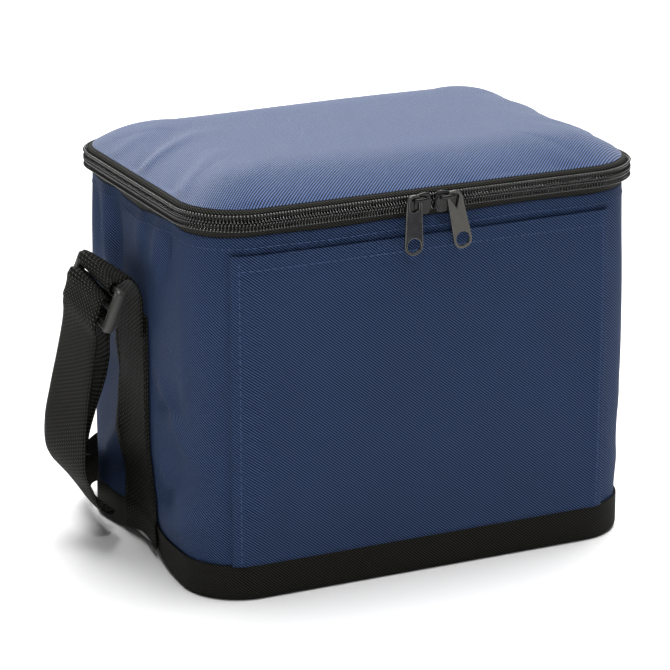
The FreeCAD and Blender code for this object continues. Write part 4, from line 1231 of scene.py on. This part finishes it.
def make_strap():
    """The fold that holds the adjuster, and the long strap from its cut end to the right side."""
    wall = HALF_W / MM + 0.15 + 1.6
    layer = wall + 0.3 + 0.8
    top = ANCHOR_HIGH.z / MM
    bar = 8.6
    rise = [(0, -9), (0, 5), (0.7, 11), (3.0, 16), (6.6, 19)]
    loop = [station(-layer - out, STRAP_Y / MM, top + up) for out, up in rise]
    loop += round_bar(bar, (10, 45, 90, 135, 175))
    loop += [glide_station(bar - BAR_REACH, -3.0), glide_station(bar - BAR_REACH - 0.6, -6.5)]
    piece, length = band("strap_fold", loop, 1.2 * MM)
    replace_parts(piece, "strap_loop")
    stations = [station(*row) for row in TAIL_ROUTE]
    stations.append(glide_station(-11.6, -BAR_REACH))
    stations += round_bar(0, range(-90, 1, 30))
    over = [(3.3, 1.6), (3.6, 3.3), (3.0, 4.7), (1.0, 5.5), (-4.0, 5.4), (-10.0, 5.2)]
    stations += [glide_station(up, out) for up, out in over]
    stations += [station(*row) for row in STRAP_ROUTE]
    end = [(11.2, 9.5), (7.2, 13.2), (3.0, 11.8), (0.6, 7.0), (0, 2.0), (0, -9.0)]
    stations += [station(layer + out, STRAP_Y / MM, top + up) for out, up in end]
    piece, length = band("long_strap", stations, 1.8 * MM)
    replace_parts(piece, "shoulder_strap")


# ---------------- the whole bag

make_wall()
make_liner()
make_base()
make_pocket()
make_tapes()
make_teeth()
make_hinge()
make_lid()
make_lid_lining()
for side, sign, lean, metal, pointed in (
    ("left", -1, 0.0, DARK_METAL, False),
    ("right", 1, -12.5, PALE_METAL, True),
):
    make_slider(side, sign)
    make_pull(side, lean, metal, pointed)
make_anchor("left")
make_anchor("right")
side_seams("left")
side_seams("right")
make_glide()
make_strap()

seam_s = laps(1.5 * MM)
seam_path = line_on_wall(seam_s, wall_top(seam_s) - 4.6 * MM, 0.05 * MM)
stitches("wall_top_seam", seam_path, "navy_cloth", NAVY_THREAD)

# Pieces kept from the model as they are: all but the zip's small end stops are hidden inside.
CARRIED = {"base_board": BOARD, "base_foam": FOAM, "lid_foam": FOAM, "zip_end_stops": SKINS["zip_teeth"]}
for node, material in CARRIED.items():
    dress(frame["nodes"][node], material)


# ---------------- studio


def add_light(name, kind, energy):
    data = bpy.data.lights.new(name, kind)
    data.energy = energy
    light = bpy.data.objects.new(name, data)
    bpy.context.scene.collection.objects.link(light)
    return light


def area_light(name, place, target, size, power):
    light = add_light(name, "AREA", power)
    light.data.shape = "RECTANGLE"
    light.data.size, light.data.size_y = size
    light.location = place
    aim = Vector(target) - Vector(place)
    light.rotation_euler = aim.to_track_quat("-Z", "Y").to_euler()


def make_studio():
    """A pale floor, a soft overhead sun, a wide box behind and a small fill in front."""
    floor = bpy.data.meshes.new("floor")
    reach = 6.0
    corners = [(-reach, -reach, 0), (reach, -reach, 0), (reach, reach, 0), (-reach, reach, 0)]
    floor.from_pydata(corners, [], [(0, 1, 2, 3)])
    piece = bpy.data.objects.new("floor", floor)
    bpy.context.scene.collection.objects.link(piece)
    pale = Nodes("studio_floor")
    tone = pale.mix(pale.noise(pale.place(), 3.0), (0.80, 0.80, 0.80), (0.83, 0.83, 0.83))
    dress(piece, pale.finish(tone, 0.6))
    overhead = add_light("overhead", "SUN", 5.0)
    overhead.data.angle = math.radians(50)
    overhead.rotation_euler = (math.radians(-7), math.radians(8), 0)
    area_light("back_box", (0.9, 1.9, 1.1), (0, 0, 0.17), (2.4, 1.3), 34)
    area_light("front_fill", (-0.6, -1.3, 1.7), (0, 0, 0.1), (0.22, 0.22), 12)
    world = bpy.data.worlds.new("studio")
    bpy.context.scene.world = world
    world.use_nodes = True
    background = world.node_tree.nodes["Background"]
    background.inputs["Color"].default_value = (1, 1, 1, 1)
    background.inputs["Strength"].default_value = 0.16


def away(azimuth, rise):
    """The direction towards a viewer at these angles in degrees, from the front and from level."""
    azimuth, rise = math.radians(azimuth), math.radians(rise)
    level = math.cos(rise)
    return Vector((math.sin(azimuth) * level, -math.cos(azimuth) * level, math.sin(rise)))


def make_camera():
    """The camera stands up and to the left of the front, and looks a little above the base."""
    data = bpy.data.cameras.new("camera")
    data.sensor_width = 36.0
    data.lens = 171.9
    data.clip_end = 30.0
    camera = bpy.data.objects.new("camera", data)
    bpy.context.scene.collection.objects.link(camera)
    camera.location = away(-25.92, 20.94) * 1.489
    camera.rotation_euler = away(-25.546, 17.725).to_track_quat("Z", "Y").to_euler()
    bpy.context.scene.camera = camera


make_studio()
make_camera()
bpy.context.scene.view_settings.view_transform = "Standard"
